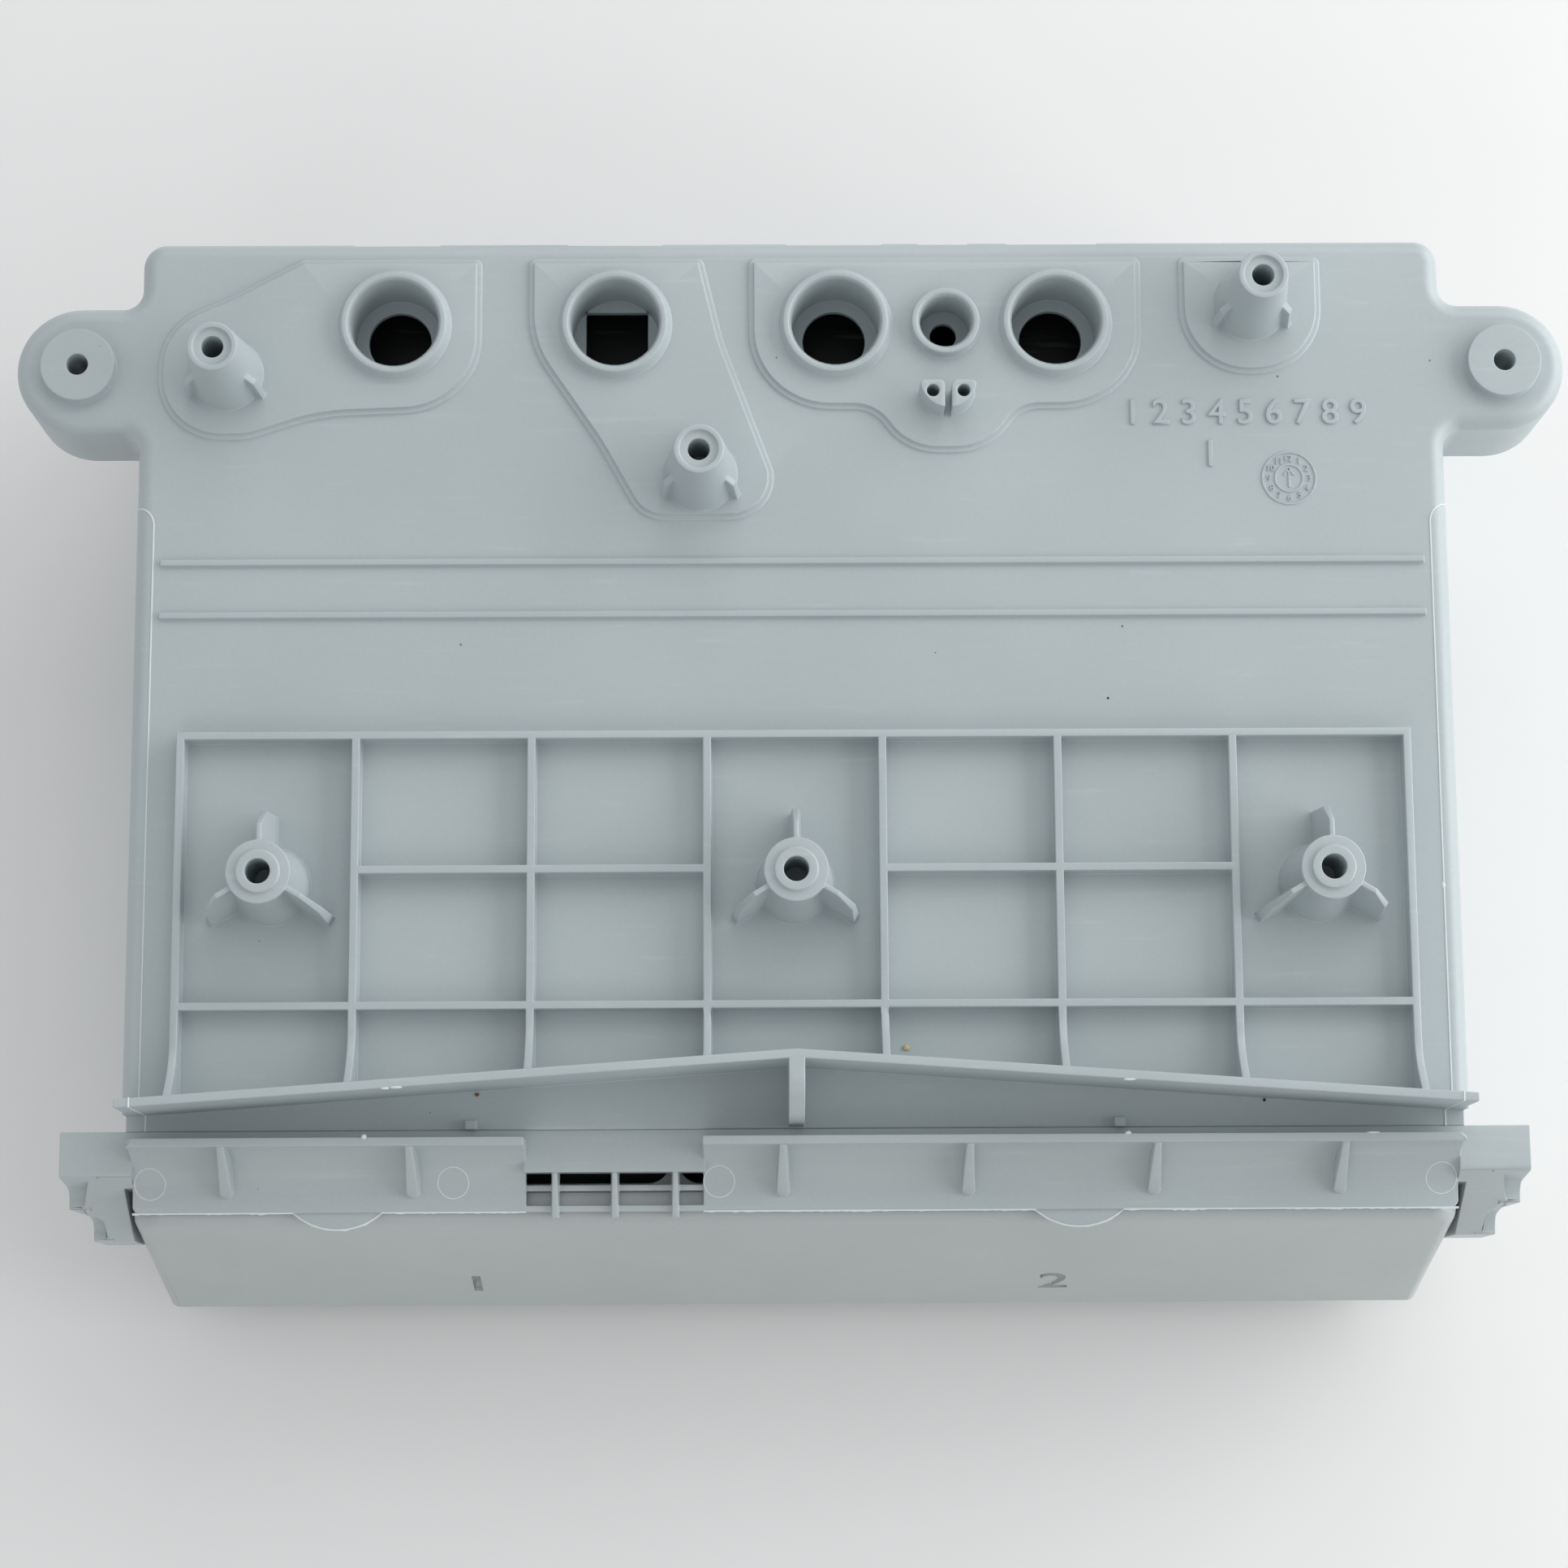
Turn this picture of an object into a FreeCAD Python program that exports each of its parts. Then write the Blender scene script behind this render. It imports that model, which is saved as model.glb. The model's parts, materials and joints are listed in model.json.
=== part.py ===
import FreeCAD, Part
import math
import os

os.makedirs("parts", exist_ok=True)
V = FreeCAD.Vector

# Main sizes of the dispenser, in mm. X across, +Y to the rear, +Z up, z = 0 is the foot plane.
BODY_HALF_W = 152.5
Y_REAR = 123.3
Y_SEAM = -85.0
DECK_Z = 90.0
WALL = 2.5
SPLIT_Z = 63.0
REAR_CORNER_R = 5.5
TOP_EDGE_R = 4.0
CUT_PAST = 20.0
CUT_OVER = 1.0
ROOT = 0.5

# Fixing ears.
EAR_OUT = 13.9
EAR_X = BODY_HALF_W + EAR_OUT
EAR_Y = 92.5
EAR_R = 15.1
EAR_H = DECK_Z - SPLIT_Z
EAR_FILLET = 4.5
EAR_DISC_R = 8.6
EAR_DISC_H = 3.2
EAR_HOLE_R = 2.5
EAR_TUBE_WALL = 2.2

# Water sockets in a row along the rear.
PORT_Y = 102.2
PORT_PITCH = 51.5
PORT_FIRST_X = -92.85
PORT_X = [PORT_FIRST_X + k * PORT_PITCH for k in range(4)]
PORT_RIM_H = 4.2
PORT_BORE_R = 10.3
PORT_LIP = 1.9
PORT_LEAD = 1.2
PORT_BASE_R = 13.3
PORT_DEPTH = 17.0
PORT_THROAT_R = 7.4
PORT_FLOOR_T = 2.0
PORT_TUBE_WALL = 1.9
PORT_LEAD_W = 0.7
PORT_SQUARE = 14.6
SMALL_PORT_X = 35.9
SMALL_PORT_BORE_R = 6.0
SMALL_PORT_BASE_R = 8.2
SMALL_PORT_DEPTH = 13.0
SMALL_PORT_THROAT_R = 3.1

# Shallow recesses in the rear wall: from x, to x.
NOTCHES = [(-103.0, -82.7), (-52.4, -30.3), (-1.1, 21.3), (29.9, 41.6), (50.8, 72.2)]
NOTCH_D = 0.8
NOTCH_H = 14.0

# Raised pads under the sockets and rear bosses.
PAD_H = 1.4
PAD_LEDGE_H = 0.6
PAD_LEDGE_W = 1.2
PAD_REAR_GAP = 0.8
PAD_SIDE = 20.2
PAD_FRONT = 19.2
PAD_REAR_R = 1.5
PAD_BEND_R = 24.0
PAD_CORNER_R = 9.0
BOSS_PAD_SIDE = 16.6
BOSS_PAD_FRONT = 16.6
BOSS_PAD_R = 15.0
POST_PAD_FRONT = 12.3
POST_PAD_SIDE = 9.9
POST_PAD_FLARE = 17.0

# Rear screw bosses: centre x, y.
REAR_BOSSES = [(-131.9, 90.3), (-21.5, 65.9), (107.5, 106.6)]
REAR_BOSS_H = 24.5
REAR_BOSS_TOP_R = 5.7
REAR_BOSS_BASE_R = 8.8
REAR_BOSS_RING_R = 4.4
REAR_BOSS_RING_DEPTH = 0.8
REAR_FIN_T = 1.6
REAR_FIN_H = 14.2
REAR_FIN_REACH = 1.8
REAR_FIN_SLOPE = 3.4
REAR_BOSS_HOLE_R = 2.5
BOSS_HOLE_DEPTH = 16.0

# Two half-round posts in front of the small socket.
D_POST_X = 36.0
D_POST_Y = 83.6
D_POST_GAP = 1.6
D_POST_R = 6.6
D_POST_BACK = 2.6
D_POST_CORNER_R = 1.3
D_POST_H = 10.0
D_POST_HOLE_R = 1.45
D_POST_HOLE_X = 3.55

# Two low ridges across the deck.
RIDGE_Y = [45.5, 33.0]
RIDGE_INSET = 6.2
RIDGE_HALF_L = BODY_HALF_W - RIDGE_INSET
RIDGE_W = 1.5
RIDGE_H = 1.0

# Rib grid on the deck.
GRID_PITCH_X = 40.0
GRID_COLS = 8
GRID_Y_TOP = 4.0
GRID_PITCH_Y = 31.0
RIB_T = 1.8
RIB_H = 5.0

# Front screw bosses in three of the grid cells.
FRONT_BOSS_PITCH = 119.2
FRONT_BOSS_X = [-FRONT_BOSS_PITCH, 0.0, FRONT_BOSS_PITCH]
FRONT_BOSS_Y = -30.2
FRONT_BOSS_FLANGE_R = 7.2
FRONT_BOSS_FLANGE_T = 2.0
FRONT_BOSS_STEP_R = 4.85
FRONT_BOSS_STEP_H = 0.8
FRONT_BOSS_H = REAR_BOSS_H - FRONT_BOSS_STEP_H
FRONT_BOSS_NECK_R = 6.0
FRONT_BOSS_BASE_R = 9.0
FRONT_BOSS_HOLE_R = 2.8
FIN_T = 2.4
FIN_TOP_T = 1.2
FIN_LEVEL_REACH = 10.9
FIN_SHOULDER_REACH = 15.0
FIN_SHOULDER_DROP = 8.5
FIN_TOP_DROP = 0.7
FIN_BASE_REACH = 16.2

# V dam across the front of the deck and the lower front deck before it.
DAM_APEX_Y = -70.0
DAM_END_Y = -80.6
DAM_T = 2.0
DAM_H = 14.0
DAM_SWEEP = 13.0
DAM_OVER = -1.0
FRONT_DROP = 9.0
WEB_T = 3.6
NUB_X = [-74.0, 73.6]
NUB_W = 2.6
NUB_L = 2.2
NUB_H = 2.0
DAM_WEB_HEAD = 0.35

# Water spreader under the deck.
SPREAD_T = 2.0
SPREAD_Z = 76.0
SPREAD_SIDE_GAP = 4.0
SPREAD_HALF_W = BODY_HALF_W - WALL - SPREAD_SIDE_GAP
SPREAD_Y_FRONT = -62.0
TROUGH_Y = 84.0
TROUGH_Z = 56.0
SPREAD_COLS = 12
SPREAD_ROWS = 6
SPREAD_PITCH_Y = 21.0
SPREAD_FIRST_Y = 16.0
SPREAD_SLOT_L = 9.0
SPREAD_SLOT_W = 2.2

# Drawer tray and its runners.
POST_T = 2.9
FRAME_OPEN_HALF_W = BODY_HALF_W - POST_T
FLANGE_CLEAR = 1.0
FLANGE_HALF_W = FRAME_OPEN_HALF_W - FLANGE_CLEAR
FLANGE_REACH = 6.6
TRAY_HALF_W = FLANGE_HALF_W - FLANGE_REACH
TRAY_Y_REAR = 78.0
TRAY_Y_FRONT = -98.5
TRAY_Z_BOTTOM = 20.0
TRAY_Z_RIM = 71.0
TRAY_WALL = 2.0
TRAY_DIVIDER_X = -28.0
FLANGE_T = 2.0
FLANGE_REAR_GAP = 9.0
RUN_CLEAR = 0.3
RAIL_GAP = 2.5
RAIL_INNER_X = TRAY_HALF_W + RAIL_GAP
RAIL_T = 2.5
TRAVEL = 150.0
HOLD_GAP = 0.5
HOLD_REACH = 4.0
HOLD_T = 2.0
LUG_T = 4.0
LUG_W = 3.2
LUG_H = 3.4
STOP_T = 3.0

# Siphon posts (x, y, post radius) and their caps.
SIPHON_Y = 52.0
SIPHON_X = [-86.0, 58.0]
SIPHON_R = [4.0, 5.0]
SIPHON_WALL = 1.4
SIPHON_H = 24.0
CAP_GAP = 2.2
CAP_WALL = 1.6
CAP_ROOF_GAP = 4.0
CAP_EDGE = 1.0
CAP_SLOT_W = 5.0
CAP_SLOT_H = 3.0
CAP_TAB_W = 9.0
CAP_TAB_T = 2.0
CAP_TAB_H = 9.4

# Frame round the drawer mouth.
FRAME_Y_FRONT = -97.5
FRAME_SILL_Z = 10.0
LIP_Z = 75.0
LIP_T = 2.0
LIP_Y = -103.3
COVE_BACK_Y = -87.1
COVE_T = 2.0
COVE_TOP_Z = 90.0
COVE_INSET = 1.3
COVE_HALF_L = BODY_HALF_W - COVE_INSET
COVE_R = 11.5
COVE_CORNER_R = 1.8
WINDOW_X0 = -61.6
WINDOW_X1 = -21.2
WINDOW_FIN_X = [-55.0, -41.4, -27.6]
WINDOW_FIN_T = 2.0
WINDOW_FIN_TOP_T = 1.1
WINDOW_BAR_T = 1.4
WINDOW_LAND = 2.9
GUSSET_X = [-129.8, -87.4, -3.1, 39.1, 81.5, 123.9]
GUSSET_T = 3.2
GUSSET_TOP_T = 1.6
GUSSET_END = 3.2
TAB_X = [-104.6, 64.6]
TAB_R = 15.2
TAB_OUT = 3.8
WING_REACH = 14.9
WING_OUT = BODY_HALF_W + WING_REACH
WING_TOP_L = 10.2
WING_STEP_Z = 9.5
WING_LEAN = 2.4
WING_TREAD = 4.4
WING_FOOT_Z = 46.0
WING_GAP = 1.0
WING_R = 1.6
WING_FLUTE_R = 4.0
WING_SHEET_DROP = 1.0
WING_LOBE_X = [BODY_HALF_W + 14.1, BODY_HALF_W + 10.0]
WING_LOBE_W = 6.3
WING_LOBE_SKEW = 1.6

# Drawer front.
FRONT_INSET = 0.3
FRONT_HALF_W = BODY_HALF_W - FRONT_INSET
FRONT_TOP_Z = 74.4
FRONT_TOP_Y = -105.3
FRONT_BOTTOM_Z = 12.0
FRONT_BOTTOM_Y = -123.5
FRONT_BACK_Y = TRAY_Y_FRONT
FRONT_T = 2.6
FRONT_EDGE_R = 3.6
FRONT_CORNER_R = 7.0
FRONT_WEB_T = 2.0
FRONT_WEB_PITCH = 60.0

# Lower housing.
FOOT_T = 2.5
PAN_Z_FRONT = 14.0
PAN_Z_REAR = 8.0
TONGUE_T = 1.1
TONGUE_H = 2.5
FIT = 0.2
SPOUT_Y = 62.0
SPOUT_R = 17.0
SPOUT_WALL = 2.5
SPOUT_Z = 1.0
SPOUT_LEN = 4.8
SPOUT_COLLAR = 4.0
UNDER_RIB_X = [-100.0, -50.0, 50.0, 100.0]
UNDER_RIB_T = 1.8
UNDER_RIB_Z = 2.0


def pan_z(y):
    """Height of the sloping pan floor's upper face."""
    y_back = Y_REAR - WALL / 2.0
    return PAN_Z_FRONT + (PAN_Z_REAR - PAN_Z_FRONT) * (y - Y_SEAM) / (y_back - Y_SEAM)


def box(x0, y0, z0, x1, y1, z1):
    return Part.makeBox(x1 - x0, y1 - y0, z1 - z0, V(x0, y0, z0))


def cyl(x, y, z, r, h):
    return Part.makeCylinder(r, h, V(x, y, z))


def cone(x, y, z, r0, r1, h):
    return Part.makeCone(r0, r1, h, V(x, y, z))


def prism(points, z0, h):
    wire = Part.makePolygon([V(x, y, z0) for x, y in points] + [V(points[0][0], points[0][1], z0)])
    return Part.Face(wire).extrude(V(0, 0, h))


def plate_x(points, x, t):
    """Upright plate: an outline in (y, z) with thickness t centred on x."""
    ring = points + [points[0]]
    wire = Part.makePolygon([V(x - t / 2.0, y, z) for y, z in ring])
    return Part.Face(wire).extrude(V(t, 0, 0))


def drafted(points, foot_t, top_t):
    """Upright plate from an outline in (y, z), thinner at its top than at its foot."""
    plate = plate_x(points, 0, foot_t)
    b = plate.BoundBox
    h = foot_t / 2.0
    k = top_t / 2.0
    ring = [(-h, b.ZMin), (h, b.ZMin), (k, b.ZMax), (-k, b.ZMax), (-h, b.ZMin)]
    wire = Part.makePolygon([V(x, b.YMin, z) for x, z in ring])
    return plate.common(Part.Face(wire).extrude(V(0, b.YLength, 0)))


def on_line(edge, y, z):
    """True for the edge along X at this y and z."""
    b = edge.BoundBox
    near = 1e-4
    return b.YLength < near and b.ZLength < near and abs(b.YMin - y) < near and abs(b.ZMin - z) < near


def join(shapes):
    return shapes[0].multiFuse(shapes[1:]).removeSplitter()


def less(shape, cutters):
    return shape.cut(cutters)


def arc(center, r, a0, a1, z):
    mid = math.radians((a0 + a1) / 2.0)
    a0 = math.radians(a0)
    a1 = math.radians(a1)
    pts = [V(center[0] + r * math.cos(a), center[1] + r * math.sin(a), z) for a in (a0, mid, a1)]
    return Part.Arc(pts[0], pts[1], pts[2]).toShape()


def closed(items, z):
    """Wire from a list of arcs and of points that straight edges join up."""
    edges = []
    last = None
    first = None
    for item in items:
        if isinstance(item, tuple):
            start = V(item[0], item[1], z)
            end = start
            edge = None
        else:
            edge = item
            start = edge.firstVertex(True).Point
            end = edge.lastVertex(True).Point
        if last is not None and last.distanceToPoint(start) > 1e-6:
            edges.append(Part.makeLine(last, start))
        if edge is not None:
            edges.append(edge)
        if first is None:
            first = start
        last = end
    if last.distanceToPoint(first) > 1e-6:
        edges.append(Part.makeLine(last, first))
    return Part.Wire(edges)


def cover_outline(z, y_front):
    """Outline of the upper housing with its two ears, from y_front to the rear edge."""
    w = BODY_HALF_W
    low = EAR_Y - EAR_R
    high = EAR_Y + EAR_R
    f = EAR_FILLET
    r = REAR_CORNER_R
    items = [(w, y_front)]
    items.append(arc((w + f, low - f), f, 180, 90, z))
    items.append(arc((EAR_X, EAR_Y), EAR_R, -90, 90, z))
    items.append(arc((w + f, high + f), f, 270, 180, z))
    items.append(arc((w - r, Y_REAR - r), r, 0, 90, z))
    items.append(arc((-w + r, Y_REAR - r), r, 90, 180, z))
    items.append(arc((-w - f, high + f), f, 0, -90, z))
    items.append(arc((-EAR_X, EAR_Y), EAR_R, 90, 270, z))
    items.append(arc((-w - f, low - f), f, 90, 0, z))
    items.append((-w, y_front))
    return closed(items, z)


def body_block(inset, z0, z1, y_front):
    """Plain body block with rounded rear corners, drawn in by inset."""
    w = BODY_HALF_W - inset
    r = max(REAR_CORNER_R - inset, 0.5)
    y = Y_REAR - inset
    items = [(w, y_front), arc((w - r, y - r), r, 0, 90, z0), arc((-w + r, y - r), r, 90, 180, z0)]
    items.append((-w, y_front))
    return Part.Face(closed(items, z0)).extrude(V(0, 0, z1 - z0))


def dam_y(x):
    return DAM_APEX_Y + (DAM_END_Y - DAM_APEX_Y) * abs(x) / BODY_HALF_W


def dam_band(half_l, back, front, z0, z1):
    """V-shaped band between two offsets of the dam line."""
    ends = dam_y(half_l)
    pts = [(-half_l, ends + back), (0, DAM_APEX_Y + back), (half_l, ends + back)]
    pts += [(half_l, ends + front), (0, DAM_APEX_Y + front), (-half_l, ends + front)]
    return prism(pts, z0, z1 - z0)


def rounded(points, z):
    """Closed wire through corner points (x, y, corner radius); a short side limits its two radii."""
    n = len(points)
    spots = [V(x, y, z) for x, y, r in points]
    ways = [(spots[(k + 1) % n] - spots[k]) for k in range(n)]
    halves = [(-ways[k - 1]).getAngle(ways[k]) / 2.0 for k in range(n)]
    runs = [points[k][2] / math.tan(halves[k]) for k in range(n)]
    share = []
    for k in range(n):
        ahead = ways[k].Length / (runs[k] + runs[(k + 1) % n])
        behind = ways[k - 1].Length / (runs[k] + runs[k - 1])
        share.append(min(1.0, 0.98 * ahead, 0.98 * behind))
    items = []
    for k in range(n):
        here = spots[k]
        back = (-ways[k - 1]).normalize()
        ahead = V(ways[k]).normalize()
        run = runs[k] * share[k]
        r = run * math.tan(halves[k])
        mid = here + (back + ahead).normalize() * (r / math.sin(halves[k]) - r)
        items.append(Part.Arc(here + back * run, mid, here + ahead * run).toShape())
    return closed(items, z)


def pad(points):
    """Low pad from its corner points, with a narrow ledge round its foot."""
    foot = Part.Face(rounded(points, DECK_Z))
    top = foot.makeOffset2D(-PAD_LEDGE_W)
    return foot.extrude(V(0, 0, PAD_LEDGE_H)).fuse(top.extrude(V(0, 0, PAD_H)))


def pads():
    rear = Y_REAR - TOP_EDGE_R - PAD_REAR_GAP
    low = PORT_Y - PAD_FRONT - PAD_LEDGE_W
    side = PAD_SIDE
    r = PAD_REAR_R
    bend = PAD_BEND_R
    corner = PAD_CORNER_R
    lobe_r = BOSS_PAD_R
    out = []
    # Pad of the first socket reaches out to the left rear boss.
    bx, by = REAR_BOSSES[0]
    px = PORT_X[0]
    left = bx - BOSS_PAD_SIDE + 0.6
    front = by - BOSS_PAD_FRONT + 1.2
    tail = [(px + side, rear, r), (px - side - 1.6, rear, r), (bx + 2.0, by + 20.0, bend)]
    tail += [(left, by + 12.0, lobe_r), (left, front, lobe_r), (bx + 5.0, front, lobe_r)]
    tail += [(px - side + 3.0, low - 1.4, 2 * bend), (px + side, low, side - 2.0)]
    out.append(pad(tail))
    # Pad of the second socket runs diagonally to the middle rear boss.
    bx, by = REAR_BOSSES[1]
    px = PORT_X[1]
    front = by - BOSS_PAD_FRONT + 6.0
    sash = [(px - side, rear, r), (px - side, PORT_Y - 4.6, bend), (bx - 24.0, by + 8.0, 2 * bend)]
    sash += [(bx - 13.6, front, corner), (bx + 17.0, front, lobe_r - 1.0), (bx + 17.0, by + 1.0, corner)]
    sash += [(bx + 5.4, PORT_Y - 4.0, 2 * bend), (px + side + 0.2, rear, r)]
    out.append(pad(sash))
    # Pad of the two right sockets and the small one, with a lobe round the two posts.
    x0 = PORT_X[2] - side
    x1 = PORT_X[3] + side
    lobe = D_POST_Y - POST_PAD_FRONT
    wide = POST_PAD_FLARE
    slim = POST_PAD_SIDE
    row = [(x0, rear, r), (x0, low, side - 1.2), (D_POST_X - wide, low, corner)]
    row += [(D_POST_X - slim, lobe, lobe_r), (D_POST_X + slim, lobe, lobe_r)]
    row += [(D_POST_X + wide, low, corner), (x1, low, side - 1.2), (x1, rear, r)]
    out.append(pad(row))
    # Pad of the right rear boss.
    bx, by = REAR_BOSSES[2]
    front = by - BOSS_PAD_FRONT
    half = BOSS_PAD_SIDE
    last = [(bx - half, rear, r), (bx - half, front, lobe_r + 1.0), (bx + half, front, lobe_r + 1.0)]
    last += [(bx + half, rear, r)]
    out.append(pad(last))
    return out


def rear_boss(x, y):
    """Tapered screw boss with a recessed ring and three small gussets."""
    body = [cone(x, y, DECK_Z, REAR_BOSS_BASE_R, REAR_BOSS_TOP_R, REAR_BOSS_H)]
    for deg in (90, 210, 330):
        high = DECK_Z + REAR_FIN_H
        foot = REAR_BOSS_BASE_R + REAR_FIN_REACH
        pts = [(0, DECK_Z), (foot, DECK_Z), (foot - 2 * REAR_FIN_REACH / 3.0, high - REAR_FIN_SLOPE)]
        pts += [(REAR_BOSS_TOP_R, high), (0, high)]
        fin = plate_x(pts, 0, REAR_FIN_T)
        fin.rotate(V(0, 0, 0), V(0, 0, 1), deg - 90)
        fin.translate(V(x, y, 0))
        body.append(fin)
    top = DECK_Z + REAR_BOSS_H
    cuts = [cyl(x, y, top - REAR_BOSS_RING_DEPTH, REAR_BOSS_RING_R, REAR_BOSS_RING_DEPTH + CUT_OVER)]
    cuts.append(cyl(x, y, top - BOSS_HOLE_DEPTH, REAR_BOSS_HOLE_R, BOSS_HOLE_DEPTH + CUT_OVER))
    return body, cuts


def front_boss(x, y):
    """Tall screw boss: cone, flange, raised step and three drafted upright fins."""
    top = DECK_Z + FRONT_BOSS_H
    body = [cone(x, y, DECK_Z, FRONT_BOSS_BASE_R, FRONT_BOSS_NECK_R, FRONT_BOSS_H - FRONT_BOSS_FLANGE_T)]
    body.append(cyl(x, y, top - FRONT_BOSS_FLANGE_T, FRONT_BOSS_FLANGE_R, FRONT_BOSS_FLANGE_T))
    body.append(cyl(x, y, top, FRONT_BOSS_STEP_R, FRONT_BOSS_STEP_H))
    crest = top - FIN_TOP_DROP
    side = [(0, DECK_Z), (FIN_BASE_REACH, DECK_Z), (FIN_SHOULDER_REACH, top - FIN_SHOULDER_DROP)]
    side += [(FIN_LEVEL_REACH, crest), (0, crest)]
    for deg in (90, 210, 330):
        fin = drafted(side, FIN_T, FIN_TOP_T)
        fin.rotate(V(0, 0, 0), V(0, 0, 1), deg - 90)
        fin.translate(V(x, y, 0))
        body.append(fin)
    hole_z = top + FRONT_BOSS_STEP_H - BOSS_HOLE_DEPTH
    return body, [cyl(x, y, hole_z, FRONT_BOSS_HOLE_R, BOSS_HOLE_DEPTH + CUT_OVER)]


def grid_rib(x):
    """Lengthwise rib whose top sweeps up to the dam at its front end."""
    y_end = dam_y(x)
    top = DECK_Z + RIB_H
    high = DECK_Z + DAM_H - ROOT
    pts = [(GRID_Y_TOP + RIB_T / 2.0, DECK_Z - ROOT), (GRID_Y_TOP + RIB_T / 2.0, top)]
    steps = 7
    for k in range(steps + 1):
        t = k / float(steps)
        pts.append((y_end + DAM_SWEEP * (1 - t), top + (high - top) * (1 - math.cos(t * math.pi / 2.0))))
    pts.append((y_end, DECK_Z - ROOT))
    return plate_x(pts, x, RIB_T)


def port_socket(x, base_r, bore_r, depth, throat_r, square):
    """Collar above the deck, socket tube below it, and the cutters for its bore."""
    rim = DECK_Z + PORT_RIM_H
    floor = rim - depth
    add = [cone(x, PORT_Y, DECK_Z + PAD_H, base_r, bore_r + PORT_LIP, PORT_RIM_H - PAD_H)]
    tube_z = floor - PORT_FLOOR_T
    add.append(cyl(x, PORT_Y, tube_z, bore_r + PORT_TUBE_WALL, DECK_Z + PAD_H + ROOT - tube_z))
    cut = [cyl(x, PORT_Y, floor, bore_r, depth + CUT_OVER)]
    cut.append(cone(x, PORT_Y, rim - PORT_LEAD, bore_r, bore_r + PORT_LEAD_W, PORT_LEAD + 0.01))
    if square:
        h = PORT_SQUARE / 2.0
        cut.append(box(x - h, PORT_Y - h, tube_z - CUT_OVER, x + h, PORT_Y + h, floor + CUT_OVER))
    else:
        cut.append(cyl(x, PORT_Y, tube_z - CUT_OVER, throat_r, PORT_FLOOR_T + 2 * CUT_OVER))
    return add, cut


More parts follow.
